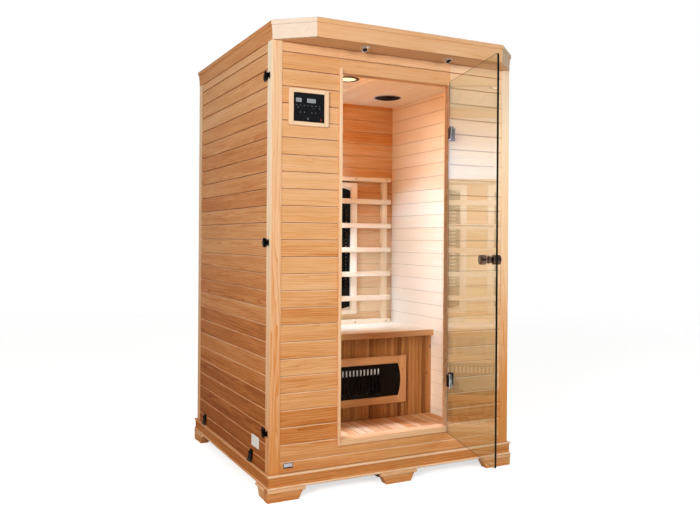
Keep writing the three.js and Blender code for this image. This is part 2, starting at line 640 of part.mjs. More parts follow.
function leverBody() {
  const { axisHeight, round, length, shoulder, top, lip, width } = LEVER;
  const lowest = axisHeight - round;
  const rounding = Array.from({ length: FACETS.lever + 1 }, (_, i) => {
    const angle = Math.PI / 2 + (i * Math.PI) / FACETS.lever;
    return [round * Math.cos(angle), axisHeight + round * Math.sin(angle)];
  });
  const outline = [
    ...rounding, [shoulder + 5, lowest], [length - 3, lip / 2], [length, lip - 1], [length - 2, lip],
    [shoulder, top],
  ];
  return prism(outline, width).translate(0, 0, -width / 2);
}

function addClasps() {
  for (const [side, outward] of [['left', minus(X)], ['right', X]]) {
    const x = outward.x * WALL.halfWidth;
    CLASP_SIDE_Z.forEach((z, i) => {
      const lever = add(`clasp_${side}_${['top', 'middle', 'low'][i]}`, leverBody(), 'steel');
      turnMesh(lever, minus(Y), outward, [x, CLASP_SIDE_HINGE_Y, z]);
    });
    CLASP_BASE_Y.forEach((y, i) => {
      const lever = add(`clasp_${side}_base_${['front', 'rear'][i]}`, leverBody(), 'steel');
      turnMesh(lever, minus(Z), outward, [x, y, CLASP_BASE_HINGE_Z]);
    });
  }
}

addPlinth();
addFeet();
addFloor();
addSideWalls();
addRearWall();
addFrontWall();
addDoorLining();
addRoof();
addFascias();
addFittings();
addHeaters();
addBench();
addBackrest();
addControl();
addDoor();
addClasps();

export default cabin;
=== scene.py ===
"""Looks of a two-seat infrared sauna cabin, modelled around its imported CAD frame.

Pieces are shaped in millimetres and turned to metres when they are finished.
"""

import functools
import json
import logging
import math
import random
from dataclasses import dataclass
from enum import Enum
from typing import Callable, Sequence

import bmesh
import bpy
from mathutils import Matrix, Vector


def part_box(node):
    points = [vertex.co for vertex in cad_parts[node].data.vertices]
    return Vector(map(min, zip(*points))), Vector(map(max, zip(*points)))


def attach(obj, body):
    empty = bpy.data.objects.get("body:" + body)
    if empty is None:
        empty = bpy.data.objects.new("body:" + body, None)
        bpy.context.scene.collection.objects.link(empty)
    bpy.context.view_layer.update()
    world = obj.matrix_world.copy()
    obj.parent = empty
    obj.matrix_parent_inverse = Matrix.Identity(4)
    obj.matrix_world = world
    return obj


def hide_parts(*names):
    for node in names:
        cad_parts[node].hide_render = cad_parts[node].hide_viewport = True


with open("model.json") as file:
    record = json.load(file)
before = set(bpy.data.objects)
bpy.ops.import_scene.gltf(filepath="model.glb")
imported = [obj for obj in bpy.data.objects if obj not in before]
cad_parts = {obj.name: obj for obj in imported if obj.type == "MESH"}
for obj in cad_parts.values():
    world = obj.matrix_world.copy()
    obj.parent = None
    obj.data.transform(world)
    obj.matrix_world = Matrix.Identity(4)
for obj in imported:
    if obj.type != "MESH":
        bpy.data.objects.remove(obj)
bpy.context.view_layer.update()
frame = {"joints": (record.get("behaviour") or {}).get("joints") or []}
LOG = logging.getLogger("sauna_cabin")
MM = 0.001
Point = tuple[float, float]


class Axis(Enum):
    """A direction of the cabin: across it, from front to back, or up."""

    X = 0
    Y = 1
    Z = 2

    def pick(self, along: float, across: float) -> Vector:
        """Returns a vector with one value along this axis and another across it."""
        return Vector([along if i == self.value else across for i in range(3)])

    def turn(self) -> Matrix:
        """Returns the rotation that brings +Z to this axis."""
        return Vector((0, 0, 1)).rotation_difference(self.pick(1.0, 0.0)).to_matrix().to_4x4()


class Side(Enum):
    """Left or right half of the cabin, with its sign along X."""

    LEFT = -1
    RIGHT = 1

    @property
    def word(self) -> str:
        """The side as it stands in node names."""
        return self.name.lower()


@dataclass(frozen=True)
class Extent:
    """Lowest and highest corner of a CAD node, in millimetres."""

    lo: Vector
    hi: Vector

    @classmethod
    def of(cls, node: str) -> "Extent":
        """Reads a node's box from the frame.

        Args:
            node: Name of the CAD node.

        Returns:
            Its box at rest.
        """
        lo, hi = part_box(node)
        return cls(lo / MM, hi / MM)

    @property
    def middle(self) -> Vector:
        """Centre of the box."""
        return (self.lo + self.hi) / 2


WALL_TOP = Extent.of("wall_left").hi.z


def linear(code: str) -> tuple[float, float, float, float]:
    """Turns an sRGB colour to linear light.

    Args:
        code: Colour as #RRGGBB.

    Returns:
        Red, green, blue and an alpha of 1.
    """
    shares = [int(code[i:i + 2], 16) / 255 for i in (1, 3, 5)]
    light = [c / 12.92 if c <= 0.04045 else ((c + 0.055) / 1.055) ** 2.4 for c in shares]
    return (*light, 1.0)


def add_node(tree: bpy.types.NodeTree, kind: str, settings: dict | None = None,
             inputs: dict | None = None) -> bpy.types.Node:
    """Adds one shader node.

    Args:
        tree: Node tree that gets the node.
        kind: Blender's name of the node type.
        settings: Properties to set on the node.
        inputs: Socket name or number, with the value or the output that feeds it.

    Returns:
        The new node.
    """
    node = tree.nodes.new(kind)
    for name, value in (settings or {}).items():
        setattr(node, name, value)
    for socket, value in (inputs or {}).items():
        if isinstance(value, bpy.types.NodeSocket):
            tree.links.new(value, node.inputs[socket])
        else:
            node.inputs[socket].default_value = value
    return node


def new_material(name: str, sockets: dict) -> tuple[bpy.types.Material, bpy.types.NodeTree, bpy.types.Node]:
    """Starts a material with a Principled shader.

    Args:
        name: Name of the material.
        sockets: Values of the shader's own sockets.

    Returns:
        The material, its node tree and the shader node.
    """
    material = bpy.data.materials.new(name)
    material.use_nodes = True
    shader = material.node_tree.nodes["Principled BSDF"]
    for socket, value in sockets.items():
        shader.inputs[socket].default_value = value
    return material, material.node_tree, shader


@dataclass(frozen=True)
class Timber:
    """Planed hemlock, left without lacquer.

    Planing leaves a dull sheen. The saw cuts through the growth rings, so each board shows pale spring
    wood between narrow darker lines that run along it, and no two boards have quite the same tone.
    """

    name: str
    shades: tuple[str, ...]
    ring_mm: float = 7.0
    ring_depth: float = 0.16
    figure_depth: float = 0.42
    fibre_depth: float = 0.3
    knot_mm: float = 0.0
    roughness: float = 0.58

    @functools.cache
    def material(self, axis: Axis) -> bpy.types.Material:
        """Makes the timber with its grain along one axis.

        Args:
            axis: Direction of the grain.

        Returns:
            The material.
        """
        material, tree, shader = new_material(f"{self.name}_{axis.name.lower()}", {
            "Roughness": self.roughness, "IOR": 1.5, "Specular IOR Level": 0.22})
        place = add_node(tree, "ShaderNodeTexCoord").outputs["Object"]
        pith = add_node(tree, "ShaderNodeAttribute", {"attribute_name": "pith"}).outputs["Vector"]
        tone = add_node(tree, "ShaderNodeAttribute", {"attribute_name": "tone"}).outputs["Fac"]
        local = add_node(tree, "ShaderNodeVectorMath", {"operation": "SUBTRACT"},
                         {0: place, 1: pith}).outputs[0]
        # Length and width in millimetres of the slow drift of the rings, of the cloudy figure and of the
        # fibres. Real fibres are finer than a tenth of a millimetre, so they are drawn coarse to show.
        cells = {"drift": (900.0, 70.0), "figure": (420.0, 26.0), "fibre": (70.0, 2.2)}
        pattern = {}
        for label, (length, width) in cells.items():
            scale = axis.pick(1 / (length * MM), 1 / (width * MM))
            spot = add_node(tree, "ShaderNodeVectorMath", {"operation": "MULTIPLY"}, {0: local, 1: scale})
            pattern[label] = add_node(tree, "ShaderNodeTexNoise", None, {
                "Vector": spot.outputs[0], "Scale": 1.0, "Detail": 3.0, "Roughness": 0.6}).outputs["Fac"]
        flat = add_node(tree, "ShaderNodeVectorMath", {"operation": "MULTIPLY"},
                        {0: local, 1: axis.pick(0.0, 1.0)})
        radius = add_node(tree, "ShaderNodeVectorMath", {"operation": "LENGTH"}, {0: flat.outputs[0]})
        drift = add_node(tree, "ShaderNodeMath", {"operation": "MULTIPLY"}, {0: pattern["drift"], 1: 7.0})
        count = add_node(tree, "ShaderNodeMath", {"operation": "MULTIPLY_ADD"}, {
            0: radius.outputs["Value"], 1: 1 / (self.ring_mm * MM), 2: drift.outputs[0]})
        ring = add_node(tree, "ShaderNodeMath", {"operation": "FRACT"}, {0: count.outputs[0]})
        late = add_node(tree, "ShaderNodeMath", {"operation": "POWER"}, {0: ring.outputs[0], 1: 2.2})
        level = tone
        for source, weight in ((late.outputs[0], self.ring_depth), (pattern["figure"], self.figure_depth),
                               (pattern["fibre"], self.fibre_depth)):
            level = add_node(tree, "ShaderNodeMath", {"operation": "MULTIPLY_ADD"},
                             {0: source, 1: weight, 2: level}).outputs[0]
        mean = 0.31 * self.ring_depth + 0.5 * (self.figure_depth + self.fibre_depth)
        shade = add_node(tree, "ShaderNodeMath", {"operation": "SUBTRACT"}, {0: level, 1: mean})
        ramp = add_node(tree, "ShaderNodeValToRGB", None, {"Fac": shade.outputs[0]})
        for number in range(1, len(self.shades) - 1):
            ramp.color_ramp.elements.new(number / (len(self.shades) - 1))
        for stop, colour in zip(ramp.color_ramp.elements, self.shades):
            stop.color = linear(colour)
        colour = ramp.outputs["Color"]
        if self.knot_mm:
            scale = axis.pick(0.5 / (self.knot_mm * MM), 1 / (self.knot_mm * MM))
            spot = add_node(tree, "ShaderNodeVectorMath", {"operation": "MULTIPLY"}, {0: local, 1: scale})
            cell = add_node(tree, "ShaderNodeTexVoronoi", None, {"Vector": spot.outputs[0], "Scale": 1.0})
            knot = add_node(tree, "ShaderNodeMapRange", None, {
                "Value": cell.outputs["Distance"], "From Min": 0.03, "From Max": 0.12,
                "To Min": 0.85, "To Max": 0.0})
            colour = add_node(tree, "ShaderNodeMix", {"data_type": "RGBA"}, {
                0: knot.outputs["Result"], 6: colour, 7: linear("#4A2712")}).outputs[2]
        bump = add_node(tree, "ShaderNodeBump", None, {
            "Strength": 0.22, "Distance": 0.5 * MM, "Height": level})
        tree.links.new(colour, shader.inputs["Base Color"])
        tree.links.new(bump.outputs["Normal"], shader.inputs["Normal"])
        return material


@dataclass(frozen=True)
class Coating:
    """A finish without grain: paint, plating, moulded plastic, glazed ceramic or paper.

    Two close shades mottle it, and a fine bump breaks its gloss.
    """

    name: str
    colour: str
    shade: str
    metallic: float = 0.0
    roughness: float = 0.4
    spread: float = 0.08
    grit_mm: float = 1.5
    bump: float = 0.15
    coat: float = 0.0
    gloss: float = 0.5
    glow: float = 0.0

    @functools.cache
    def material(self) -> bpy.types.Material:
        """Returns the coating as a material."""
        material, tree, shader = new_material(self.name, {
            "Metallic": self.metallic, "Coat Weight": self.coat, "Specular IOR Level": self.gloss,
            "Emission Strength": self.glow})
        place = add_node(tree, "ShaderNodeTexCoord").outputs["Object"]
        grit = add_node(tree, "ShaderNodeTexNoise", None, {
            "Vector": place, "Scale": 1 / (self.grit_mm * MM), "Detail": 2.0}).outputs["Fac"]
        cloud = add_node(tree, "ShaderNodeTexNoise", None, {
            "Vector": place, "Scale": 1 / (24 * self.grit_mm * MM), "Detail": 3.0}).outputs["Fac"]
        colour = add_node(tree, "ShaderNodeMix", {"data_type": "RGBA"}, {
            0: cloud, 6: linear(self.colour), 7: linear(self.shade)}).outputs[2]
        gloss = add_node(tree, "ShaderNodeMapRange", None, {
            "Value": cloud, "From Min": 0.3, "From Max": 0.7,
            "To Min": max(0.02, self.roughness - self.spread), "To Max": self.roughness + self.spread})
        bump = add_node(tree, "ShaderNodeBump", None, {
            "Strength": self.bump, "Distance": 0.1 * MM, "Height": grit})
        tree.links.new(colour, shader.inputs["Base Color"])
        tree.links.new(gloss.outputs["Result"], shader.inputs["Roughness"])
        tree.links.new(bump.outputs["Normal"], shader.inputs["Normal"])
        if self.glow:
            tree.links.new(colour, shader.inputs["Emission Color"])
        return material


@dataclass(frozen=True)
class ClearGlass:
    """Toughened float glass: fire-polished faces that mirror at a low angle and let lamps shine through."""

    name: str
    tint: str

    @functools.cache
    def material(self) -> bpy.types.Material:
        """Returns the glass as a material."""
        material, tree, shader = new_material(self.name, {
            "Base Color": linear(self.tint), "Roughness": 0.0, "IOR": 1.5, "Transmission Weight": 1.0})
        clear = add_node(tree, "ShaderNodeBsdfTransparent", None, {"Color": linear(self.tint)})
        path = add_node(tree, "ShaderNodeLightPath")
        both = add_node(tree, "ShaderNodeMixShader", None, {
            0: path.outputs["Is Shadow Ray"], 1: shader.outputs[0], 2: clear.outputs[0]})
        tree.links.new(both.outputs[0], tree.nodes["Material Output"].inputs["Surface"])
        return material


# Shades from the palest to the deepest tone, at even steps.
BOARDS = Timber("hemlock_boards", ("#F2CBA2", "#E8B688", "#DDA067", "#C47637", "#8E460F"))
TRIM = Timber("hemlock_trim", ("#FAE2C4", "#F3D3AE", "#ECC197", "#E6B081", "#D68A47"), ring_mm=9.0, ring_depth=0.3)
# Lighter timber for the canopy's left chamfer: painted highlight where the light from the left falls.
LIT_CANOPY = Timber("hemlock_canopy", ("#EAD6C4", "#DEC3AA", "#C8A07A"), ring_mm=12.0)
INSIDE = Timber("hemlock_inside", ("#FAEEDE", "#F2D8B2", "#CC7C36"), ring_depth=0.1)
# Deeper timber for the bench front, nose, battens and heater frame: partly painted shade under the seat.
SHADED_BENCH_WOOD = Timber("hemlock_bench", ("#DDB182", "#B5804A", "#6E3E18"), ring_mm=5.0, knot_mm=60.0)
SHEET = Timber("plywood_sheet", ("#E6C79C", "#CFA671", "#A87B48"), ring_mm=18.0, roughness=0.65)
# Tongues deep in the joints, in a dark brown that paints the shade in the grooves.
JOINT = Coating("shadowed_tongue", "#6E4320", "#4E2C12", roughness=0.9)
# Powder-coated sheet steel: baked powder flows out to a fine orange peel with a soft gloss.
BLACK_STEEL = Coating("black_powder_coat", "#08080A", "#040405", roughness=0.5, grit_mm=0.8, gloss=0.2)
# Zinc die casting, nickel and chrome plated: a mirror with faint wiping marks.
CHROME = Coating("chrome_plating", "#D9DADC", "#BFC0C4", metallic=1.0, roughness=0.1, spread=0.05, bump=0.03)
BROWN_CHROME = Coating("bronzed_chrome_plating", "#94796A", "#5A453A", metallic=1.0, roughness=0.14, bump=0.03)
DARK_CHROME = Coating("black_chrome_plating", "#5A5A5E", "#38383C", metallic=1.0, roughness=0.16, bump=0.03)
# Moulded ABS behind a screen-printed gloss film.
GLOSS_BLACK = Coating("gloss_black_film", "#0A0B10", "#050609", roughness=0.12, spread=0.05, coat=0.5)
LCD = Coating("grey_display", "#A9AFB4", "#8E959B", roughness=0.22, grit_mm=0.6, glow=0.05)
INK = Coating("pale_print", "#8B95A3", "#6D7785", roughness=0.4)
KEY_RUBBER = Coating("moulded_key", "#1B1D22", "#111216", roughness=0.45, grit_mm=0.6)
INDICATOR = Coating("red_indicator", "#D8352A", "#B4231B", roughness=0.25, glow=0.6)
# Glazed alumina tube: bright white with a wet gloss. Its glow is painted light that keeps it bright behind the dark
# slots.
CERAMIC = Coating("glazed_ceramic", "#D8D4CC", "#8F8A82", roughness=0.25, spread=0.06, grit_mm=0.5, glow=0.32)
REFLECTOR = Coating("rolled_aluminium", "#8D8F93", "#6C6E72", metallic=1.0, roughness=0.35)
LAMP_GLASS = Coating("opal_lamp_glass", "#FFF4DA", "#FFE6BA", roughness=0.3, glow=0.85)
LENS = Coating("dark_lamp_lens", "#1C120B", "#0E0805", roughness=0.3, gloss=0.2)
SPEAKER_RIM = Coating("pale_plastic_rim", "#CFC3CB", "#BBAFB8", roughness=0.4)
GRILLE = Coating("woven_speaker_grille", "#0C0A0D", "#050406", roughness=0.7, grit_mm=1.2, bump=0.5, gloss=0.15)
BRONZE = Coating("bronzed_lamp_ring", "#5A4628", "#33260F", metallic=1.0, roughness=0.35)
# Brown door seal, extruded and shiny, so that it mirrors the slats behind the doorway. Its brown is partly painted
# shade on the jamb's inner face.
SEAL_AND_SHADE = Coating("brown_door_seal", "#AC8662", "#8C653F", roughness=0.3, spread=0.06)
PAPER = Coating("bare_paper_label", "#F4F2EE", "#E4E1DC", roughness=0.6, bump=0.1)
PLATE = Coating("bare_aluminium_plate", "#E3E4EA", "#C9CAD4", metallic=0.3, roughness=0.35)
SCREW = Coating("blackened_screw", "#1E1611", "#0E0A07", roughness=0.45, gloss=0.25)
GALVANISED = Coating("galvanised_sheet", "#B4B8BA", "#8F9497", metallic=1.0, roughness=0.42, grit_mm=6.0)
GLASS = ClearGlass("toughened_glass", "#F3FAF6")
# The ground edge carries light along the pane, so it looks like dark bottle glass.
GLASS_EDGE = Coating("ground_glass_edge", "#0E1C16", "#07100C", roughness=0.2, spread=0.04, gloss=0.3)


@dataclass(frozen=True)
class Grain:
    """How a board was cut from its log: direction, tone and where the log's pith lay."""

    timber: Timber
    axis: Axis
    tone: float
    fade: float
    pith: Vector

    @classmethod
    def cut(cls, timber: Timber, axis: Axis, key: str, middle: Vector, tone: float = 0.3,
            spread: float = 0.17, fade: float = 0.22) -> "Grain":
        """Cuts a board from a log of its own.

        Args:
            timber: Kind of timber.
            axis: Direction of the grain.
            key: Name of the board. Boards of one name have one grain.
            middle: Middle of the board.
            tone: Mean tone, from 0, pale, to 1, deep.
            spread: Most that the tone differs from the mean.
            fade: How much deeper the timber is at the ground than at the wall's top, as painted shade.

        Returns:
            The grain.
        """
        draw = random.Random(key)
        away = [draw.choice((-1, 1)) * draw.uniform(14.0, 60.0) for _ in range(3)]
        pith = axis.pick(0.0, 1.0) * middle + Vector(away)
        pith[axis.value] = draw.uniform(-3000.0, 3000.0)
        return cls(timber, axis, tone + draw.uniform(-spread, spread), fade, pith)

    def material(self) -> bpy.types.Material:
        """Returns the timber's material for this direction."""
        return self.timber.material(self.axis)


Finish = Grain | Coating | ClearGlass


class Workpiece:
    """A mesh under construction, in millimetres, with each board's tone and pith on its vertices."""

    def __init__(self, name: str) -> None:
        """Starts an empty piece.

        Args:
            name: Name of the finished piece.
        """
        self.name = name
        self.bm = bmesh.new()
        self.tone = self.bm.verts.layers.float.new("tone")
        self.pith = self.bm.verts.layers.float_vector.new("pith")
        self.materials: list[bpy.types.Material] = []

    def slot_of(self, finish: Finish) -> int:
        """Returns the material slot of a finish, which is added when it is new."""
        material = finish.material()
        if material not in self.materials:
            self.materials.append(material)
        return self.materials.index(material)

    def dress(self, verts: Sequence[bmesh.types.BMVert], finish: Finish) -> None:
        """Gives new vertices their grain and their faces a material.

        Args:
            verts: Vertices of one shape.
            finish: What the shape is made of.
        """
        slot = self.slot_of(finish)
        for face in {f for v in verts for f in v.link_faces}:
            face.material_index = slot
        if isinstance(finish, Grain):
            for vert in verts:
                # Painted shade: the tone deepens towards the ground by the fade, or lightens there when the fade is
                # negative.
                vert[self.tone] = finish.tone + finish.fade * max(0.0, 1 - vert.co.z / WALL_TOP) ** 1.5
                vert[self.pith] = finish.pith * MM

    def ease(self, verts: Sequence[bmesh.types.BMVert], size: float, segments: int = 2,
             along: Axis | None = None) -> None:
        """Bevels the edges of a shape.

        Args:
            verts: Vertices of the shape.
            size: Width that the bevel takes from each face.
            segments: 1 for a chamfer, more for a round.
            along: Bevels only the edges in this direction, or all of them.
        """
        edges = {e for v in verts for e in v.link_edges}
        if along is not None:
            edges = {e for e in edges if abs((e.verts[1].co - e.verts[0].co).normalized()[along.value]) > 0.9}
        edges = sorted(edges, key=lambda e: tuple(e.verts[0].co) + tuple(e.verts[1].co))
        bmesh.ops.bevel(self.bm, geom=edges, offset=size, offset_type="OFFSET", affect="EDGES",
                        segments=segments, profile=0.5, material=-1, clamp_overlap=True)

    def block(self, lo: Sequence[float], hi: Sequence[float], finish: Finish, ease: float = 0.0,
              segments: int = 2, along: Axis | None = None) -> None:
        """Adds a block with eased edges.

        Args:
            lo: Lowest corner.
            hi: Highest corner.
            finish: What it is made of.
            ease: Size of the bevel, or 0 for none.
            segments: Segments of the bevel.
            along: Bevels only the edges in this direction.
        """
        low, high = Vector(lo), Vector(hi)
        verts = bmesh.ops.create_cube(self.bm, size=1.0)["verts"]
        bmesh.ops.scale(self.bm, vec=high - low, verts=verts)
        bmesh.ops.translate(self.bm, vec=(low + high) / 2, verts=verts)
        self.dress(verts, finish)
        if ease:
            self.ease(verts, ease, segments, along)

    def prism(self, corners: Sequence[Vector], push: Vector, finish: Finish, ease: float = 0.0,
              segments: int = 2) -> list[bmesh.types.BMVert]:
        """Adds a flat outline pushed out to a solid.

        Args:
            corners: Corners of the outline, in order.
            push: Direction and length of the push.
            finish: What it is made of.
            ease: Size of the bevel, or 0 for none.
            segments: Segments of the bevel.

        Returns:
            Its vertices before the bevel.
        """
        verts = [self.bm.verts.new(c) for c in corners]
        face = self.bm.faces.new(verts)
        made = bmesh.ops.extrude_face_region(self.bm, geom=[face])["geom"]
        moved = [g for g in made if isinstance(g, bmesh.types.BMVert)]
        bmesh.ops.translate(self.bm, vec=push, verts=moved)
        verts += moved
        bmesh.ops.recalc_face_normals(self.bm, faces=list({f for v in verts for f in v.link_faces}))
        self.dress(verts, finish)
        if ease:
            self.ease(verts, ease, segments)
        return verts

    def turned(self, profile: Sequence[Point], centre: Sequence[float], axis: Axis, finish: Finish,
               steps: int = 40) -> None:
        """Adds a turned shape.

        Args:
            profile: Radius and height of each point, from the axis and back to it.
            centre: Where height 0 lies on the axis.
            axis: Direction of the turning axis.
            finish: What it is made of.
            steps: Facets around it.
        """
        before = set(self.bm.verts)
        verts = [self.bm.verts.new((r, 0.0, h)) for r, h in profile]
        edges = [self.bm.edges.new(pair) for pair in zip(verts, verts[1:])]
        bmesh.ops.spin(self.bm, geom=verts + edges, cent=(0, 0, 0), axis=(0, 0, 1), angle=math.tau,
                       steps=steps, use_merge=True)
        made = [v for v in self.bm.verts if v not in before]
        bmesh.ops.remove_doubles(self.bm, verts=made, dist=1e-4)
        made = [v for v in self.bm.verts if v not in before]
        bmesh.ops.recalc_face_normals(self.bm, faces=list({f for v in made for f in v.link_faces}))
        bmesh.ops.transform(self.bm, matrix=Matrix.Translation(centre) @ axis.turn(), verts=made)
        self.dress(made, finish)

    def moulding(self, path: Sequence[Vector], index: int, section: Sequence[Point], finish: Finish) -> None:
        """Adds one moulded board of a closed run, mitred at both ends.

        Args:
            path: Corners of the run on the wall plane, clockwise as seen from above the rear.
            index: Corner that the board starts from.
            section: Distance out from the path and height of each point of the profile.
            finish: What it is made of.
        """
        corner = [path[(index + k) % len(path)] for k in (-1, 0, 1, 2)]
        way = [(b - a).normalized() for a, b in zip(corner, corner[1:])]
        out = Vector((way[1].y, -way[1].x, 0.0))
        over = way[1] * 60.0
        start = [corner[1] - over + out * t + Vector((0, 0, z)) for t, z in section]
        before = set(self.bm.verts)
        self.prism(start, corner[2] - corner[1] + 2 * over, finish)
        for at, first, second, outer in ((corner[1], way[0], way[1], False), (corner[2], way[1], way[2], True)):
            verts = [v for v in self.bm.verts if v not in before]
            faces = {f for v in verts for f in v.link_faces}
            edges = {e for v in verts for e in v.link_edges}
            cut = bmesh.ops.bisect_plane(self.bm, geom=[*verts, *edges, *faces], plane_co=at,
                                         plane_no=(first + second).normalized(),
                                         clear_outer=outer, clear_inner=not outer)["geom_cut"]
            bmesh.ops.contextual_create(self.bm, geom=[g for g in cut if isinstance(g, bmesh.types.BMEdge)])
        made = [v for v in self.bm.verts if v not in before]
        bmesh.ops.recalc_face_normals(self.bm, faces=list({f for v in made for f in v.link_faces}))
        self.dress(made, finish)

    def moved(self, matrix: Matrix, shape: Callable[[], None]) -> None:
        """Adds a shape and moves it.

        Args:
            matrix: How it is turned and moved.
            shape: Adds it to this piece.
        """
        before = set(self.bm.verts)
        shape()
        bmesh.ops.transform(self.bm, matrix=matrix, verts=[v for v in self.bm.verts if v not in before])

    def refinish(self, wanted: Callable[[bmesh.types.BMFace], bool], finish: Finish) -> None:
        """Gives the faces that a test picks another finish.

        Args:
            wanted: Test of a face.
            finish: Their new finish.
        """
        slot = self.slot_of(finish)
        self.bm.normal_update()
        for face in self.bm.faces:
            if wanted(face):
                face.material_index = slot

    def place(self, matrix: Matrix) -> None:
        """Turns and moves the whole piece."""
        bmesh.ops.transform(self.bm, matrix=matrix, verts=self.bm.verts)

    def finish(self, slot: str, *nodes: str, body: str = "cabin") -> bpy.types.Object:
        """Turns the piece to metres and fits it to the frame.

        Args:
            slot: Material slot of the record. Not used.
            nodes: CAD nodes that the piece stands for.
            body: CAD body that it moves with.

        Returns:
            The finished object.
        """
        bmesh.ops.scale(self.bm, vec=(MM, MM, MM), verts=self.bm.verts)
        mesh = bpy.data.meshes.new(self.name)
        self.bm.to_mesh(mesh)
        self.bm.free()
        for material in self.materials:
            mesh.materials.append(material)
        mesh.shade_smooth()
        mesh.set_sharp_from_angle(angle=math.radians(20))
        piece = bpy.data.objects.new(self.name, mesh)
        bpy.context.scene.collection.objects.link(piece)
        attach(piece, body)
        if nodes:
            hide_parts(*nodes)
        LOG.info("%s: %d faces on %s", self.name, len(mesh.polygons), body)
        return piece


def arc(centre: Point, radius: float, start: float, end: float, steps: int = 8) -> list[Point]:
    """Points on an arc.

    Args:
        centre: Centre of the arc.
        radius: Its radius.
        start: First angle, in degrees.
        end: Last angle, in degrees.
        steps: Chords along it.

    Returns:
        Its points, both ends included.
    """
    angles = [math.radians(start + (end - start) * k / steps) for k in range(steps + 1)]
    return [(centre[0] + radius * math.cos(a), centre[1] + radius * math.sin(a)) for a in angles]


@dataclass(frozen=True)
class Boarding:
    """Tongue and groove boards laid edge to edge, with a joint between them.

    The brow is the height of the chamfer on a board's upper edge, the drip that of the lower one, and
    the groove is how deep both go. Upper edges carry a painted highlight: their tone is lighter by a share
    of the tone.
    """

    pitch: float = 68.0
    first: float = 152.0
    groove: float = 2.4
    brow: float = 2.4
    drip: float = 2.4
    gap: float = 0.7
    tongue: float = 4.6
    spread: float = 0.12
    worn: float = 0.0

    def rows(self, start: float, end: float) -> list[tuple[int, float, float]]:
        """Boards that fill a stretch.

        Args:
            start: Lower limit.
            end: Upper limit.

        Returns:
            Number, lower and upper edge of each board.
        """
        numbers = range(math.floor((start - self.first) / self.pitch), math.ceil((end - self.first) / self.pitch))
        edges = [(k, self.first + self.pitch * k, self.first + self.pitch * (k + 1)) for k in numbers]
        return [(k, max(a, start), min(b, end)) for k, a, b in edges if min(b, end) - max(a, start) > 0.5]

    def section(self, low: float, high: float, thick: float) -> list[Point]:
        """Outlines a board's end.

        Args:
            low: Lower edge.
            high: Upper edge.
            thick: Thickness of the board.

        Returns:
            Depth and level of each corner.
        """
        share = min(1.0, (high - low) / (self.brow + self.drip + 1.0))
        below, above = low + share * self.drip, high - share * self.brow
        deep = thick - self.groove
        return [(self.groove, low), (0, below), (0, above), (self.groove, high),
                (deep, high), (thick, above), (thick, below), (deep, low)]

    def lay(self, work: Workpiece, lo: Sequence[float], hi: Sequence[float], run: Axis, stack: Axis,
            timber: Timber, key: str, tone: float = 0.3, openings: Sequence[Extent] = (),
            fade: float = 0.35) -> None:
        """Lays boards in a box.

        Args:
            work: Piece that gets the boards.
            lo: Lowest corner of the box.
            hi: Highest corner of the box.
            run: Direction that the boards run in.
            stack: Direction that they follow one another in.
            timber: What they are made of.
            key: Name of the wall. Boards of one name and number have one grain.
            tone: Mean tone.
            openings: Boxes that the boards stop at, in order along the run.
            fade: How much deeper the boards are at the ground, as painted shade.
        """
        middle = (Vector(lo) + Vector(hi)) / 2
        for number, low, high in self.rows(lo[stack.value], hi[stack.value]):
            middle[stack.value] = self.first + self.pitch * (number + 0.5)
            grain = Grain.cut(timber, run, f"{key} {number}", middle, tone, self.spread, fade)
            ends = [lo[run.value], hi[run.value]]
            for gap in openings:
                if gap.lo[stack.value] < high and gap.hi[stack.value] > low:
                    ends[-1:-1] = [gap.lo[run.value], gap.hi[run.value]]
            for start, end in zip(ends[::2], ends[1::2]):
                near, far = Vector(lo), Vector(hi)
                near[stack.value], far[stack.value] = low + self.gap, high - self.gap
                near[run.value], far[run.value] = start, end
                deep = next(axis for axis in Axis if axis not in (run, stack))
                corners = []
                for depth, level in self.section(low + self.gap, high - self.gap, far[deep.value] - near[deep.value]):
                    corner = Vector(near)
                    corner[deep.value] += depth
                    corner[stack.value] = level
                    corners.append(corner)
                for vert in work.prism(corners, run.pick(end - start, 0.0), grain):
                    # Painted highlight: the upper chamfer's inner edge gets a lighter tone.
                    vert[work.tone] -= self.worn * (vert.co[stack.value] > high - self.gap - 0.1)
                near[deep.value] += self.tongue
                far[deep.value] -= self.tongue
                near[stack.value], far[stack.value] = low - 2 * self.gap, low + 2 * self.gap
                near[run.value], far[run.value] = start + 0.5, end - 0.5
                if low > lo[stack.value]:
                    # The tongue's dark coating is painted shade in the joint.
                    work.block(near, far, JOINT)


WALL_BOARDS = Boarding(groove=5.0, brow=4.4, drip=1.0, tongue=5.2, worn=0.8)
INNER_BOARDS = Boarding(groove=2.0, brow=2.0, drip=1.0, gap=0.45, tongue=2.2)


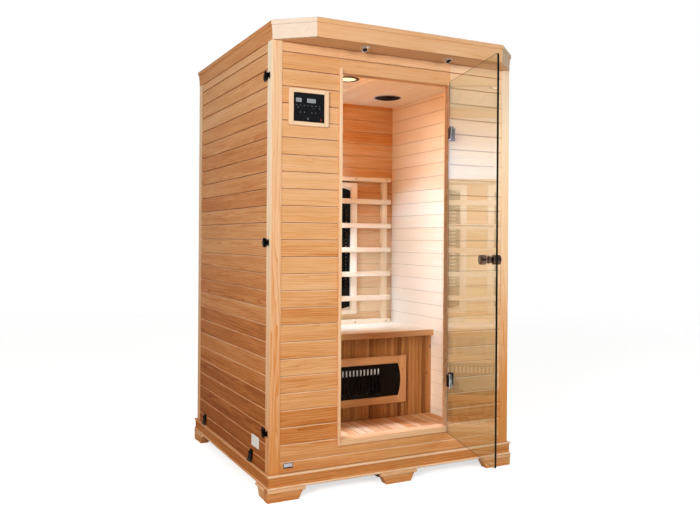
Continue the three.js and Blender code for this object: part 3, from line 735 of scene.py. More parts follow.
@dataclass
class Walls:
    """Left, right and rear wall: an outer and an inner skin of boards, and posts at the rear corners."""

    skin: float = 22.0
    post: float = 43.0
    recess: float = 3.0
    side_tone: float = 0.5
    inside_tone: float = 0.28
    # The rear wall's inside is deeper than the side walls' inside: painted shade.
    rear_tone: float = 0.86

    def build(self) -> None:
        """Builds the three walls."""
        for side in Side:
            box = Extent.of(f"wall_{side.word}")
            work = Workpiece(f"wall_{side.word}")
            inner = box.hi.x - self.skin if side is Side.LEFT else box.lo.x + self.skin
            halves = {True: ((box.lo.x, inner), BOARDS, self.side_tone),
                      False: ((inner, box.hi.x), INSIDE, self.inside_tone)}
            if side is Side.RIGHT:
                halves = {True: ((inner, box.hi.x), BOARDS, self.side_tone),
                          False: ((box.lo.x, inner), INSIDE, self.inside_tone)}
            for outside, ((x0, x1), timber, tone) in halves.items():
                boarding = WALL_BOARDS if outside else INNER_BOARDS
                # Painted shade: outer boards deepen towards the ground; inner boards deepen towards the top and lighten
                # low down, as painted light where the lamps fall.
                boarding.lay(work, (x0, box.lo.y, box.lo.z), (x1, box.hi.y, box.hi.z), Axis.Y, Axis.Z,
                             timber, f"{work.name} {outside}", tone, fade=0.55 if outside else -0.7)
            work.finish("boards", work.name)
        self.build_rear()

    def build_rear(self) -> None:
        """Builds the rear wall around the two heater pans."""
        box = Extent.of("wall_rear")
        work = Workpiece("wall_rear")
        inner = box.lo.y + self.skin
        edge = box.hi.x - self.post
        pans = [Extent.of(f"heater_back_{side.word}") for side in Side]
        # The rear wall's inner boards deepen towards the top: painted shade.
        INNER_BOARDS.lay(work, (-edge, box.lo.y, box.lo.z), (edge, inner, box.hi.z), Axis.X, Axis.Z,
                         INSIDE, "wall_rear inside", self.rear_tone, pans, -0.6)
        WALL_BOARDS.lay(work, (-edge, inner + 4, box.lo.z), (edge, box.hi.y - self.recess, box.hi.z),
                        Axis.X, Axis.Z, BOARDS, "wall_rear outside", self.side_tone)
        for side in Side:
            ends = sorted((side.value * edge, side.value * box.hi.x))
            middle = Vector((side.value * box.hi.x, box.middle.y, 0))
            grain = Grain.cut(TRIM, Axis.Z, f"rear post {side.word}", middle, 0.35, 0.05, 0.5)
            work.block((ends[0], box.lo.y, box.lo.z), (ends[1], box.hi.y, box.hi.z), grain, 1.5)
        work.finish("boards", "wall_rear")


@dataclass
class FrontWall:
    """Front wall: corner posts, boarded panels beside the doorway, header above it and apron below."""

    post: float = 43.0
    cover: float = 0.8
    recess: float = 3.0
    tone: float = 0.4

    def lay(self, work: Workpiece, lo: Sequence[float], hi: Sequence[float], paler: float = 0.0,
            fade: float = 0.3) -> None:
        """Lays front boards, whose grain runs on from piece to piece.

        Args:
            work: Piece that gets the boards.
            lo: Lowest corner.
            hi: Highest corner.
            paler: How much paler than the left panel they are, as painted light.
            fade: How much deeper the boards are at the ground, as painted shade.
        """
        WALL_BOARDS.lay(work, lo, hi, Axis.X, Axis.Z, BOARDS, "front", self.tone - paler, fade=fade)

    def build(self) -> None:
        """Builds the four pieces of the front."""
        for side in Side:
            box = Extent.of(f"front_panel_{side.word}")
            work = Workpiece(f"front_panel_{side.word}")
            outer, inner = (box.lo.x, box.hi.x) if side is Side.LEFT else (box.hi.x, box.lo.x)
            edge = outer - side.value * self.post
            near, far = sorted((outer, edge)), sorted((edge, inner))
            # Painted shade: each post deepens towards the ground by its fade.
            tone, fade = (0.44, 0.6) if side is Side.LEFT else (0.16, 1.1)
            grain = Grain.cut(TRIM, Axis.Z, f"front post {side.word}", Vector((outer, box.middle.y, 0)),
                              tone, 0.04, fade)
            work.block((near[0], box.lo.y, box.lo.z), (near[1], box.hi.y, box.hi.z), grain, 1.5)
            # A thin pale strip on the post's outer side: painted highlight where the light from the left falls.
            cover = Grain.cut(TRIM, Axis.Z, f"post cover {side.word}", Vector((outer, box.lo.y, 0)), -0.4, 0.02, 1.5)
            sides = sorted((outer + side.value * self.cover, outer - side.value * 4))
            work.block((sides[0], box.lo.y + 1, box.lo.z), (sides[1], box.hi.y, box.hi.z), cover, 0.4)
            # The right panel is paler than the left one: painted light. Its fade is painted shade.
            paler, fade = (0.0, 0.3) if side is Side.LEFT else (0.4, 0.72)
            self.lay(work, (far[0], box.lo.y + self.recess, box.lo.z), (far[1], box.hi.y, box.hi.z), paler, fade)
            work.finish("boards", work.name)
        face = Extent.of("front_panel_left").lo.y + self.recess
        header, apron = Extent.of("front_header"), Extent.of("front_apron")
        jambs = [Extent.of(f"jamb_{side.word}") for side in Side]
        work = Workpiece("front_header")
        # The header is a little paler than the left panel: painted light.
        self.lay(work, (jambs[0].hi.x, face, header.lo.z), (jambs[1].lo.x, header.hi.y, header.hi.z), 0.06)
        for x0, x1 in ((header.lo.x, jambs[0].hi.x), (jambs[1].lo.x, header.hi.x)):
            self.lay(work, (x0, face, jambs[0].hi.z), (x1, header.hi.y, header.hi.z), 0.06)
        work.finish("boards", "front_header")
        work = Workpiece("front_apron")
        self.lay(work, (apron.lo.x, face, apron.lo.z), (apron.hi.x, apron.hi.y, apron.hi.z))
        work.finish("boards", "front_apron")


@dataclass
class DoorLining:
    """Jambs and sill: pale boards that stand a little proud of the front, and a seal on the hinge side whose brown
    partly paints the shade on that jamb's inner face.
    """

    ease: float = 1.8
    # Painted shade: the lining deepens towards the ground by this fade.
    fade: float = 0.4
    jamb_depth: float = 31.0
    seal: float = 1.2

    def build(self) -> None:
        """Builds the two jambs and the sill."""
        for name, axis in (("jamb_left", Axis.Z), ("jamb_right", Axis.Z), ("door_sill", Axis.X)):
            box = Extent.of(name)
            work = Workpiece(name)
            back = box.hi.y if axis is Axis.X else box.lo.y + self.jamb_depth
            grain = Grain.cut(TRIM, axis, name, box.middle, 0.38, 0.05, self.fade)
            work.block(box.lo, (box.hi.x, back, box.hi.z), grain, self.ease)
            if name == "jamb_right":
                sill, header = Extent.of("door_sill").hi.z, Extent.of("front_header").lo.z
                # The seal's brown is partly painted shade on this jamb's inner face.
                work.block((box.lo.x - self.seal, box.lo.y + 3, sill), (box.lo.x + 1, back - 1, header), SEAL_AND_SHADE, 0.5)
            work.finish("trim", name)


@dataclass
class Plinth:
    """Moulded base boards, with a bead along the top and the bottom, on bracket feet."""

    back: float = -6.0
    face: float = 9.0
    bead: float = 4.8
    bead_out: float = 12.5
    thick: float = 44.0
    slant: float = 26.0
    strip: float = 13.0
    proud: float = 3.0
    foot_in: float = 3.0

    def build(self) -> None:
        """Builds the four boards and the five feet."""
        wall, box = Extent.of("wall_rear"), Extent.of("plinth_front")
        x, y = wall.hi.x, wall.hi.y
        path = [Vector(c) for c in ((-x, y, 0), (-x, -y, 0), (x, -y, 0), (x, y, 0))]
        low, high = box.lo.z, box.hi.z
        inner = 2 * self.bead - 1
        board = [(self.back, low + 1), (self.face, low + 1), (self.face, low + inner), (self.face - 1.5, low + inner + 8),
                 (self.face - 1.5, high - inner - 6), (self.face, high - inner), (self.face, high - 1),
                 (self.back, high - 1)]
        beads = [[(self.face - 8, z - self.bead), *arc((self.bead_out - self.bead, z), self.bead, -90, 90, 10),
                  (self.face - 8, z + self.bead)] for z in (low + self.bead, high - self.bead)]
        for index, name in enumerate(("left", "front", "right", "rear")):
            work = Workpiece(f"plinth_{name}")
            axis = Axis.Y if name in ("left", "right") else Axis.X
            middle = Extent.of(work.name).middle
            depth = 0.0 if name == "front" else 0.12
            work.moulding(path, index, board, Grain.cut(BOARDS, axis, work.name, middle, 0.47 + depth, 0.04, 0.2))
            # The beads are in pale trim timber: painted highlight on their rounded edges.
            for number, section in enumerate(beads):
                grain = Grain.cut(TRIM, axis, f"{work.name} {number}", middle, 0.4 + 3 * depth, 0.05, 0.1)
                work.moulding(path, index, section, grain)
            work.finish("trim", work.name)
        self.build_feet()

    def bracket(self, work: Workpiece, start: Vector, way: Vector, out: Vector, ends: tuple[float, float],
                height: float) -> None:
        """Adds one leg of a foot.

        Args:
            work: Piece that gets the leg.
            start: Point on the leg's outer face, on the ground.
            way: Direction along the leg.
            out: Direction that the outer face looks in.
            ends: Both ends at the top, along the leg. An end past 0 is slanted.
            height: Height of the leg.
        """
        up = Vector((0, 0, 1))
        grain = Grain.cut(BOARDS, Axis.X if abs(way.x) > 0.5 else Axis.Y, f"{work.name} {way}", start, 0.4, 0.05, 0.2)
        start = start - out * self.foot_in
        low = [e - math.copysign(self.slant, e) if e else 0.0 for e in ends]
        corners = [start + way * low[0], start + way * low[1],
                   start + way * ends[1] + up * height, start + way * ends[0] + up * height]
        work.prism(corners, -out * (self.thick - self.foot_in), grain, 1.5)
        # The strip along the foot's top is in pale trim: painted highlight.
        pale = Grain.cut(TRIM, grain.axis, f"{work.name} {way} strip", start, 0.62, 0.05, 0.1)
        reach = [e + math.copysign(self.proud, e) if e else 0.0 for e in ends]
        strip = [start + way * e + up * z + out * (self.proud + self.foot_in)
                 for e, z in ((reach[0], height - self.strip), (reach[1], height - self.strip),
                              (reach[1], height), (reach[0], height))]
        work.prism(strip, -out * (self.thick * 0.5), pale, 4.0, 4)

    def build_feet(self) -> None:
        """Builds four corner feet and the one under the middle of the front."""
        for name in ("front_left", "front_right", "rear_left", "rear_right", "front_centre"):
            box = Extent.of(f"foot_{name}")
            work = Workpiece(f"foot_{name}")
            height = box.hi.z
            front = -1 if "front" in name else 1
            y = (box.lo.y + self.proud) if front < 0 else (box.hi.y - self.proud)
            facing = Vector((0, front, 0))
            if name == "front_centre":
                half = box.hi.x
                self.bracket(work, Vector((0, y, 0)), Vector((1, 0, 0)), facing, (-half, half), height)
            else:
                side = -1 if "left" in name else 1
                x = (box.lo.x + self.proud) if side < 0 else (box.hi.x - self.proud)
                lengths = box.hi - box.lo - Vector((self.proud, self.proud, 0))
                self.bracket(work, Vector((x, y, 0)), Vector((-side, 0, 0)), facing, (0, lengths.x), height)
                self.bracket(work, Vector((x, y - front * self.thick, 0)), Vector((0, -front, 0)),
                             Vector((side, 0, 0)), (0, lengths.y - self.thick), height)
            work.finish("trim", work.name)


@dataclass
class Floor:
    """Floor boards from front to back, on a sheet with a runner under its middle."""

    boards: Boarding = Boarding(pitch=45.0, first=0.0, groove=0.8, brow=0.8, drip=0.8, gap=1.5, tongue=1.0)
    board: float = 18.0
    sheet: float = 18.0
    lap: float = 39.0
    runner: float = 45.0

    def build(self) -> None:
        """Builds the floor as one piece."""
        box = Extent.of("floor_deck")
        work = Workpiece("floor_deck")
        deck = box.hi.z - self.board
        lap = Vector((self.lap, 44.0, 0))
        self.boards.lay(work, (box.lo.x + lap.x, box.lo.y + lap.y, deck), (box.hi.x - lap.x, box.hi.y - lap.y, box.hi.z),
                        Axis.Y, Axis.X, INSIDE, "floor", 0.8, fade=0.0)
        grain = Grain.cut(SHEET, Axis.X, "floor sheet", box.middle)
        under = deck - 0.3 - self.sheet
        work.block((box.lo.x, box.lo.y, under), (box.hi.x, box.hi.y, deck - 0.3), grain, 1.0)
        grain = Grain.cut(BOARDS, Axis.Y, "floor runner", box.middle)
        work.block((-self.runner, -430, box.lo.z), (self.runner, 430, under), grain, 2.0)
        work.finish("boards", "floor_deck")


@dataclass
class Roof:
    """Roof panel with the ceiling boards below it, and the moulded fascia round it."""

    nose_x: float = 447.0
    nose_y: float = -645.0
    front_y: float = -525.0
    ceiling: Boarding = Boarding(first=0.0)
    cove: float = 3.0
    bead_z: float = 1880.0
    bead_out: float = 7.0

    def path(self) -> list[Vector]:
        """Returns the corners of the roof on the wall plane, from the rear left one on."""
        x, y = Extent.of("wall_rear").hi.x, Extent.of("wall_rear").hi.y
        plan = ((-x, y), (-x, self.front_y), (-self.nose_x, self.nose_y), (self.nose_x, self.nose_y),
                (x, self.front_y), (x, y))
        return [Vector((*p, 0.0)) for p in plan]

    def build(self) -> None:
        """Builds the panel and the fascia."""
        box = Extent.of("roof_panel")
        work = Workpiece("roof_panel")
        low = Extent.of("fascia_left").lo.z
        verts = [work.bm.verts.new(p + Vector((0, 0, low))) for p in self.path()]
        face = work.bm.faces.new(verts)
        work.bm.normal_update()
        ring = bmesh.ops.inset_region(work.bm, faces=[face], thickness=18.2, use_even_offset=True,
                                      use_boundary=True)["faces"]
        bmesh.ops.delete(work.bm, geom=ring, context="FACES")
        made = bmesh.ops.extrude_face_region(work.bm, geom=[face])["geom"]
        bmesh.ops.translate(work.bm, vec=(0, 0, box.hi.z - low),
                            verts=[g for g in made if isinstance(g, bmesh.types.BMVert)])
        bmesh.ops.recalc_face_normals(work.bm, faces=work.bm.faces)
        work.dress(list(work.bm.verts), Grain.cut(BOARDS, Axis.X, "soffit", box.middle, 0.16, 0.05))
        wall = Extent.of("wall_right")
        self.ceiling.lay(work, (-wall.lo.x, wall.lo.y, box.lo.z), (wall.lo.x, wall.hi.y, low),
                         Axis.Y, Axis.X, INSIDE, "ceiling", 0.28)
        work.finish("boards", "roof_panel")
        self.build_fascia()

    def section(self) -> list[Point]:
        """Returns the fascia's profile: a hollow face under a half-round bead."""
        box = Extent.of("fascia_left")
        low, high = box.lo.z, box.hi.z
        face = [(self.cove * s ** 1.7, low + (self.bead_z - 1 - low) * s) for s in (k / 8 for k in range(9))]
        foot = arc((self.bead_out - 3.0, self.bead_z + 3.0), 3.0, -80, 0, 5)
        brow = arc((self.bead_out - 5.0, high - 5.0), 5.0, 0, 90, 5)
        return [(-18.0, low), *face, *foot, *brow, (-18.0, high)]

    def build_fascia(self) -> None:
        """Builds the canopy's three boards as one piece, and the other fascias."""
        path, section = self.path(), self.section()
        # The canopy's left chamfer is in the lighter timber, a painted highlight.
        runs = {"fascia_left": ((0, Axis.Y, BOARDS, 0.6),), "fascia_right": ((4, Axis.Y, BOARDS, 0.5),),
                "fascia_rear": ((5, Axis.X, BOARDS, 0.5),),
                "canopy_fascia": ((1, Axis.X, LIT_CANOPY, 0.12), (2, Axis.X, BOARDS, 0.3), (3, Axis.X, TRIM, 0.3))}
        for name, boards in runs.items():
            work = Workpiece(name)
            for index, axis, timber, tone in boards:
                middle = (path[index] + path[(index + 1) % len(path)]) / 2 + Vector((0, 0, self.bead_z))
                work.moulding(path, index, section, Grain.cut(timber, axis, f"{name} {index}", middle, tone, 0.03))
            work.finish("trim", name)


@dataclass
class Fittings:
    """Lamps and speakers let into the soffit and the ceiling, and the supply box on the roof."""

    flange: float = 4.0

    def ring(self, work: Workpiece, centre: Vector, radius: float, bore: float, finish: Finish) -> None:
        """Adds a domed ring that hangs under a ceiling.

        Args:
            work: Piece that gets the ring.
            centre: Middle of the ring's lower face.
            radius: Outer radius.
            bore: Inner radius.
            finish: What it is made of.
        """
        t = self.flange
        profile = [(bore, t), (bore, 1.2), (bore + 1.5, 0.0), (radius - 4, 0.4), (radius - 1, t * 0.5),
                   (radius, t), (bore, t)]
        work.turned(profile, centre, Axis.Z, finish, 56)

    def build(self) -> None:
        """Builds the lamps, the speakers and the supply box."""
        for side in Side:
            for kind in ("soffit_light", "speaker"):
                name = f"{kind}_{side.word}"
                box = Extent.of(name)
                centre = Vector((box.middle.x, box.middle.y, box.lo.z))
                radius = (box.hi.x - box.lo.x) / 2
                work = Workpiece(name)
                if kind == "speaker":
                    self.ring(work, centre, radius + 8, radius + 4, SPEAKER_RIM)
                    cone = [(0, -3.0), (14, -2.8), (16, -1.6)]
                    cone += [(16 + 4.4 * k, -2.4 + 1.2 * (k % 2)) for k in range(1, 11)]
                    cone += [(radius + 4.5, 1.0), (radius + 4.5, 3.8), (0, 3.9)]
                    work.turned(cone, centre, Axis.Z, GRILLE, 56)
                else:
                    self.ring(work, centre, radius + 2, radius - 6, CHROME)
                    eye = [(9, -1.0), (10, -6.5), (13, -7.5), (15.5, -5.5), (radius - 5.5, 1.5), (radius - 6, 3.6)]
                    tilt = Matrix.Translation(centre) @ Matrix.Rotation(math.radians(-32), 4, "X")
                    work.moved(tilt, lambda: work.turned(eye, (0, 0, 0), Axis.Z, CHROME))
                    lens = [(0, -5.6), (7, -5.4), (9.8, -4.6), (9.8, 2), (0, 2)]
                    work.moved(tilt, lambda: work.turned(lens, (0, 0, 0), Axis.Z, LENS))
                work.finish("black_steel" if kind == "speaker" else "chrome", name)
        box = Extent.of("ceiling_light")
        centre = Vector((box.middle.x, box.middle.y, box.lo.z))
        work = Workpiece("ceiling_light")
        self.ring(work, centre, 60.0, 44.0, BRONZE)
        dome = [(0, -0.2)] + [(44.5 * math.sin(a), 3.0 - 3.2 * math.cos(a)) for a in (0.3, 0.6, 0.9, 1.2, 1.5)]
        work.turned(dome + [(0, 3.9)], centre, Axis.Z, LAMP_GLASS, 56)
        work.finish("lamp", "ceiling_light")
        self.build_box()

    def build_box(self) -> None:
        """Builds the supply box: a tray, its lid with a turned-down rim, vents and screws."""
        box = Extent.of("power_box")
        work = Workpiece("power_box")
        work.block(box.lo + Vector((3, 3, 0)), box.hi - Vector((3, 3, 3)), GALVANISED, 1.5)
        work.block((box.lo.x, box.lo.y, box.hi.z - 12), box.hi, GALVANISED, 2.0)
        for k in range(9):
            x = box.middle.x - 48 + 12 * k
            work.block((x - 2, box.lo.y + 40, box.hi.z - 0.5), (x + 2, box.hi.y - 40, box.hi.z + 0.4), BLACK_STEEL, 0.3)
        for x in (box.lo.x + 12, box.hi.x - 12):
            for y in (box.lo.y + 12, box.hi.y - 12):
                work.turned([(0, 1.6), (2.5, 1.4), (4, 0), (0, 0)], (x, y, box.hi.z), Axis.Z, SCREW, 16)
        work.finish("plastic", "power_box")


@dataclass
class Bench:
    """Bench planks on battens, and its front of narrow upright boards around the heater."""

    planks: Boarding = Boarding(pitch=89.3, first=28.0)
    staves: Boarding = Boarding(pitch=21.0, first=0.0, groove=1.4, brow=1.4, drip=1.4, gap=0.4, spread=0.25)
    plank: float = 28.0
    batten: float = 36.0

    def build(self) -> None:
        """Builds the seat and the front."""
        top = Extent.of("bench_top")
        work = Workpiece("bench_top")
        under = top.hi.z - self.plank
        nose = top.lo.y + self.plank
        grain = Grain.cut(SHADED_BENCH_WOOD, Axis.X, "bench nose", Vector((0, nose, top.hi.z)), 0.2)
        work.block((top.lo.x, top.lo.y, under), (top.hi.x, nose, top.hi.z), grain, 3.0, 3, Axis.X)
        # The seat planks take the palest tone: painted light on the top.
        self.planks.lay(work, (top.lo.x, nose, under), top.hi, Axis.X, Axis.Y, INSIDE, "bench", -0.05, fade=0.0)
        for x in (-380, 0, 380):
            grain = Grain.cut(SHADED_BENCH_WOOD, Axis.Y, f"batten {x}", Vector((x, 0, under)))
            work.block((x - 22, nose + 50, under - self.batten), (x + 22, top.hi.y - 20, under), grain, 2.0)
        work.finish("bench_wood", "bench_top")
        box, pan = Extent.of("bench_front"), Extent.of("heater_bench")
        work = Workpiece("bench_front")
        # Deep tone on the front staves: painted shade under the bench's nose.
        self.staves.lay(work, box.lo, box.hi, Axis.Z, Axis.X, SHADED_BENCH_WOOD, "bench front", 0.6, [pan], 0.1)
        work.finish("bench_wood", "bench_front")
        self.build_frame()

    def build_frame(self) -> None:
        """Builds the wooden frame round the bench heater."""
        box = Extent.of("heater_bench_frame")
        work = Workpiece("heater_bench_frame")
        heater_frame(work, box, SHADED_BENCH_WOOD, 0.12)
        work.finish("bench_wood", "heater_bench_frame")


def heater_frame(work: Workpiece, box: Extent, timber: Timber, tone: float, rail: float = 37.0,
                 end: float = 54.0) -> None:
    """Adds four boards round a heater: the long ones between the short ones.

    Args:
        work: Piece that gets the boards.
        box: Outer box of the frame.
        timber: What it is made of.
        tone: Mean tone.
        rail: Width of the boards along the heater.
        end: Width of the boards across its ends.
    """
    lo, hi = box.lo, box.hi
    tall = hi.z - lo.z > hi.x - lo.x
    long, short = (Axis.Z, Axis.X) if tall else (Axis.X, Axis.Z)
    for k in range(2):
        for axis, other, width, start in ((short, long, end, 0.0), (long, short, rail, end)):
            low, high = Vector(lo), Vector(hi)
            edge = other.value
            low[edge] = lo[edge] if k == 0 else hi[edge] - width
            high[edge] = lo[edge] + width if k == 0 else hi[edge]
            low[axis.value] += start
            high[axis.value] -= start
            grain = Grain.cut(timber, axis, f"{work.name} {axis} {k} {lo.x:.0f}", (low + high) / 2, tone, 0.06, 0.1)
            work.block(low, high, grain, 1.6)


@dataclass
class Heaters:
    """Infrared heaters: a slotted black cover with bowed ends over a ceramic tube and its reflector."""

    length: float = 650.0
    width: float = 165.0
    bow: float = 15.0
    depth: float = 13.0
    slots: int = 22
    pitch: float = 20.0
    slot_length: float = 124.0
    slot_width: float = 9.0
    tube: float = 17.0
    tube_up: float = 45.0
    proud: float = 7.0

    def build(self) -> None:
        """Builds the bench heater and the two upright ones."""
        for name in ("heater_bench", "heater_back_left", "heater_back_right"):
            box = Extent.of(name)
            work = Workpiece(name)
            self.cover(work)
            self.inside(work)
            centre = Vector((box.middle.x, box.lo.y - self.proud * ("bench" in name), box.middle.z))
            turn = {"heater_back_left": 90, "heater_back_right": -90}.get(name, 0)
            upright = Matrix.Rotation(math.radians(turn), 4, "Y")
            work.place(Matrix.Translation(centre) @ upright)
            work.finish("black_steel", name)

    def cover(self, work: Workpiece) -> None:
        """Adds the cover, lying along X with its front at y 0.

        Args:
            work: Piece that gets the cover.
        """
        half, high = self.length / 2, self.width / 2
        open_half, slot = self.pitch * self.slots / 2, self.slot_length / 2
        sheet = 2.0
        for sign in (-1, 1):
            bowed = [(half + self.bow * (1 - s * s), high * s) for s in (k / 6 - 1 for k in range(13))]
            corners = [Vector((sign * u, 0, v)) for u, v in [(open_half, -high), *bowed, (open_half, high)]]
            work.prism(corners, Vector((0, self.depth, 0)), BLACK_STEEL, 1.2)
            z = sorted((sign * slot, sign * high))
            work.block((-open_half, 0, z[0]), (open_half, sheet, z[1]), BLACK_STEEL, 0.6, 1)
            rim = sorted((sign * (high - sheet), sign * high))
            work.block((-open_half, 0, rim[0]), (open_half, self.depth, rim[1]), BLACK_STEEL, 0.6, 1)
        bar = (self.pitch - self.slot_width) / 2
        for k in range(self.slots + 1):
            x = self.pitch * k - open_half
            work.block((x - bar, 0, -slot - 1), (x + bar, sheet, slot + 1), BLACK_STEEL, 0.6, 1)

    def inside(self, work: Workpiece) -> None:
        """Adds the ribbed ceramic tube in its reflector.

        Args:
            work: Piece that gets them.
        """
        half = self.pitch * self.slots / 2 - 4
        high = self.slot_length / 2 + 8
        trough = [(20.0 + 22.0 * math.cos(a), high * math.sin(a)) for a in
                  (math.radians(d) for d in range(-90, 91, 15))]
        corners = [Vector((-half, y, z)) for y, z in trough]
        corners += [Vector((-half, y + 1.5, z)) for y, z in reversed(trough)]
        work.prism(corners, Vector((2 * half, 0, 0)), BLACK_STEEL)
        ribs = [(0.0, 0.0)]
        for k in range(self.slots * 2):
            x = k * self.pitch / 2
            ribs += [(self.tube - 2, x), (self.tube, x + 2), (self.tube, x + 7), (self.tube - 2, x + 9)]
        ribs += [(0.0, self.slots * self.pitch)]
        work.turned(ribs, (-half - 2, 21.0, self.tube_up), Axis.X, CERAMIC, 14)
        work.block((-half, 10, -high + 6), (half, 12, -high + 12), REFLECTOR, 0.5, 1)


@dataclass
class Backrest:
    """Slats between a top and a bottom rail, on stiles, with the frames of the back heaters behind them."""

    slat: float = 28.0
    slats: int = 5
    first_slat: float = 708.0
    pitch: float = 136.0
    stile_out: float = 493.0
    stile_in: float = 461.0
    frame_lo: Point = (60.0, 621.0)
    frame_hi: Point = (300.0, 1355.0)

    def build(self) -> None:
        """Builds the backrest as one piece, with its screws."""
        box = Extent.of("backrest")
        work = Workpiece("backrest")
        mid = box.lo.y + 22.0
        levels = [self.first_slat + self.pitch * k for k in range(self.slats)]
        bars = [(z - self.slat / 2, z + self.slat / 2, mid) for z in levels]
        bars += [(box.lo.z, box.lo.z + 22, box.hi.y), (box.hi.z - 22, box.hi.z, box.hi.y)]
        for low, high, back in bars:
            grain = Grain.cut(INSIDE, Axis.X, f"slat {low}", Vector((0, mid, low)), 0.15, 0.08, 0.0)
            work.block((box.lo.x, box.lo.y, low), (box.hi.x, back, high), grain, 3.0, 2)
        bottom, top = box.lo.z + 22, box.hi.z - 22
        for side in Side:
            ends = sorted((side.value * self.stile_in, side.value * self.stile_out))
            grain = Grain.cut(INSIDE, Axis.Z, f"stile {side.word}", Vector((ends[0], mid, 0)), 0.3, 0.05)
            work.block((ends[0], mid, bottom), (ends[1], box.hi.y, top), grain, 2.5)
            xs = sorted((side.value * self.frame_lo[0], side.value * self.frame_hi[0]))
            # The heater frames take a lighter tone than the slats: painted light where the lamp falls on them.
            heater_frame(work, Extent(Vector((xs[0], mid, self.frame_lo[1])),
                                      Vector((xs[1], box.hi.y, self.frame_hi[1]))), INSIDE, 0.0, end=25.0)
            for z in (self.frame_lo[1] + 24.5, self.frame_hi[1] - 54):
                grain = Grain.cut(INSIDE, Axis.X, f"frame end {side.word} {z}", Vector((xs[0], mid, z)), 0.15)
                work.block((xs[0] + 36, mid + 17, z), (xs[1] - 36, box.hi.y, z + 29.5), grain, 0.5)
            for x in (80.0, 280.0, 477.0):
                for z in (bottom - 11, top + 11):
                    self.screw(work, Vector((side.value * x, box.lo.y, z)))
        work.finish("bench_wood", "backrest")

    def screw(self, work: Workpiece, spot: Vector) -> None:
        """Adds a sunk screw head with a cross slot.

        Args:
            work: Piece that gets the screw.
            spot: Point on the face that it is driven into.
        """
        work.turned([(0, 0.5), (4.6, 0.2), (5.8, -0.4), (5.8, 1.0), (0, 1.0)], spot, Axis.Y, SCREW, 16)
        for half in ((3.4, 0.5), (0.5, 3.4)):
            work.block(spot - Vector((half[0], 0.3, half[1])), spot + Vector((half[0], 0.8, half[1])), BLACK_STEEL)


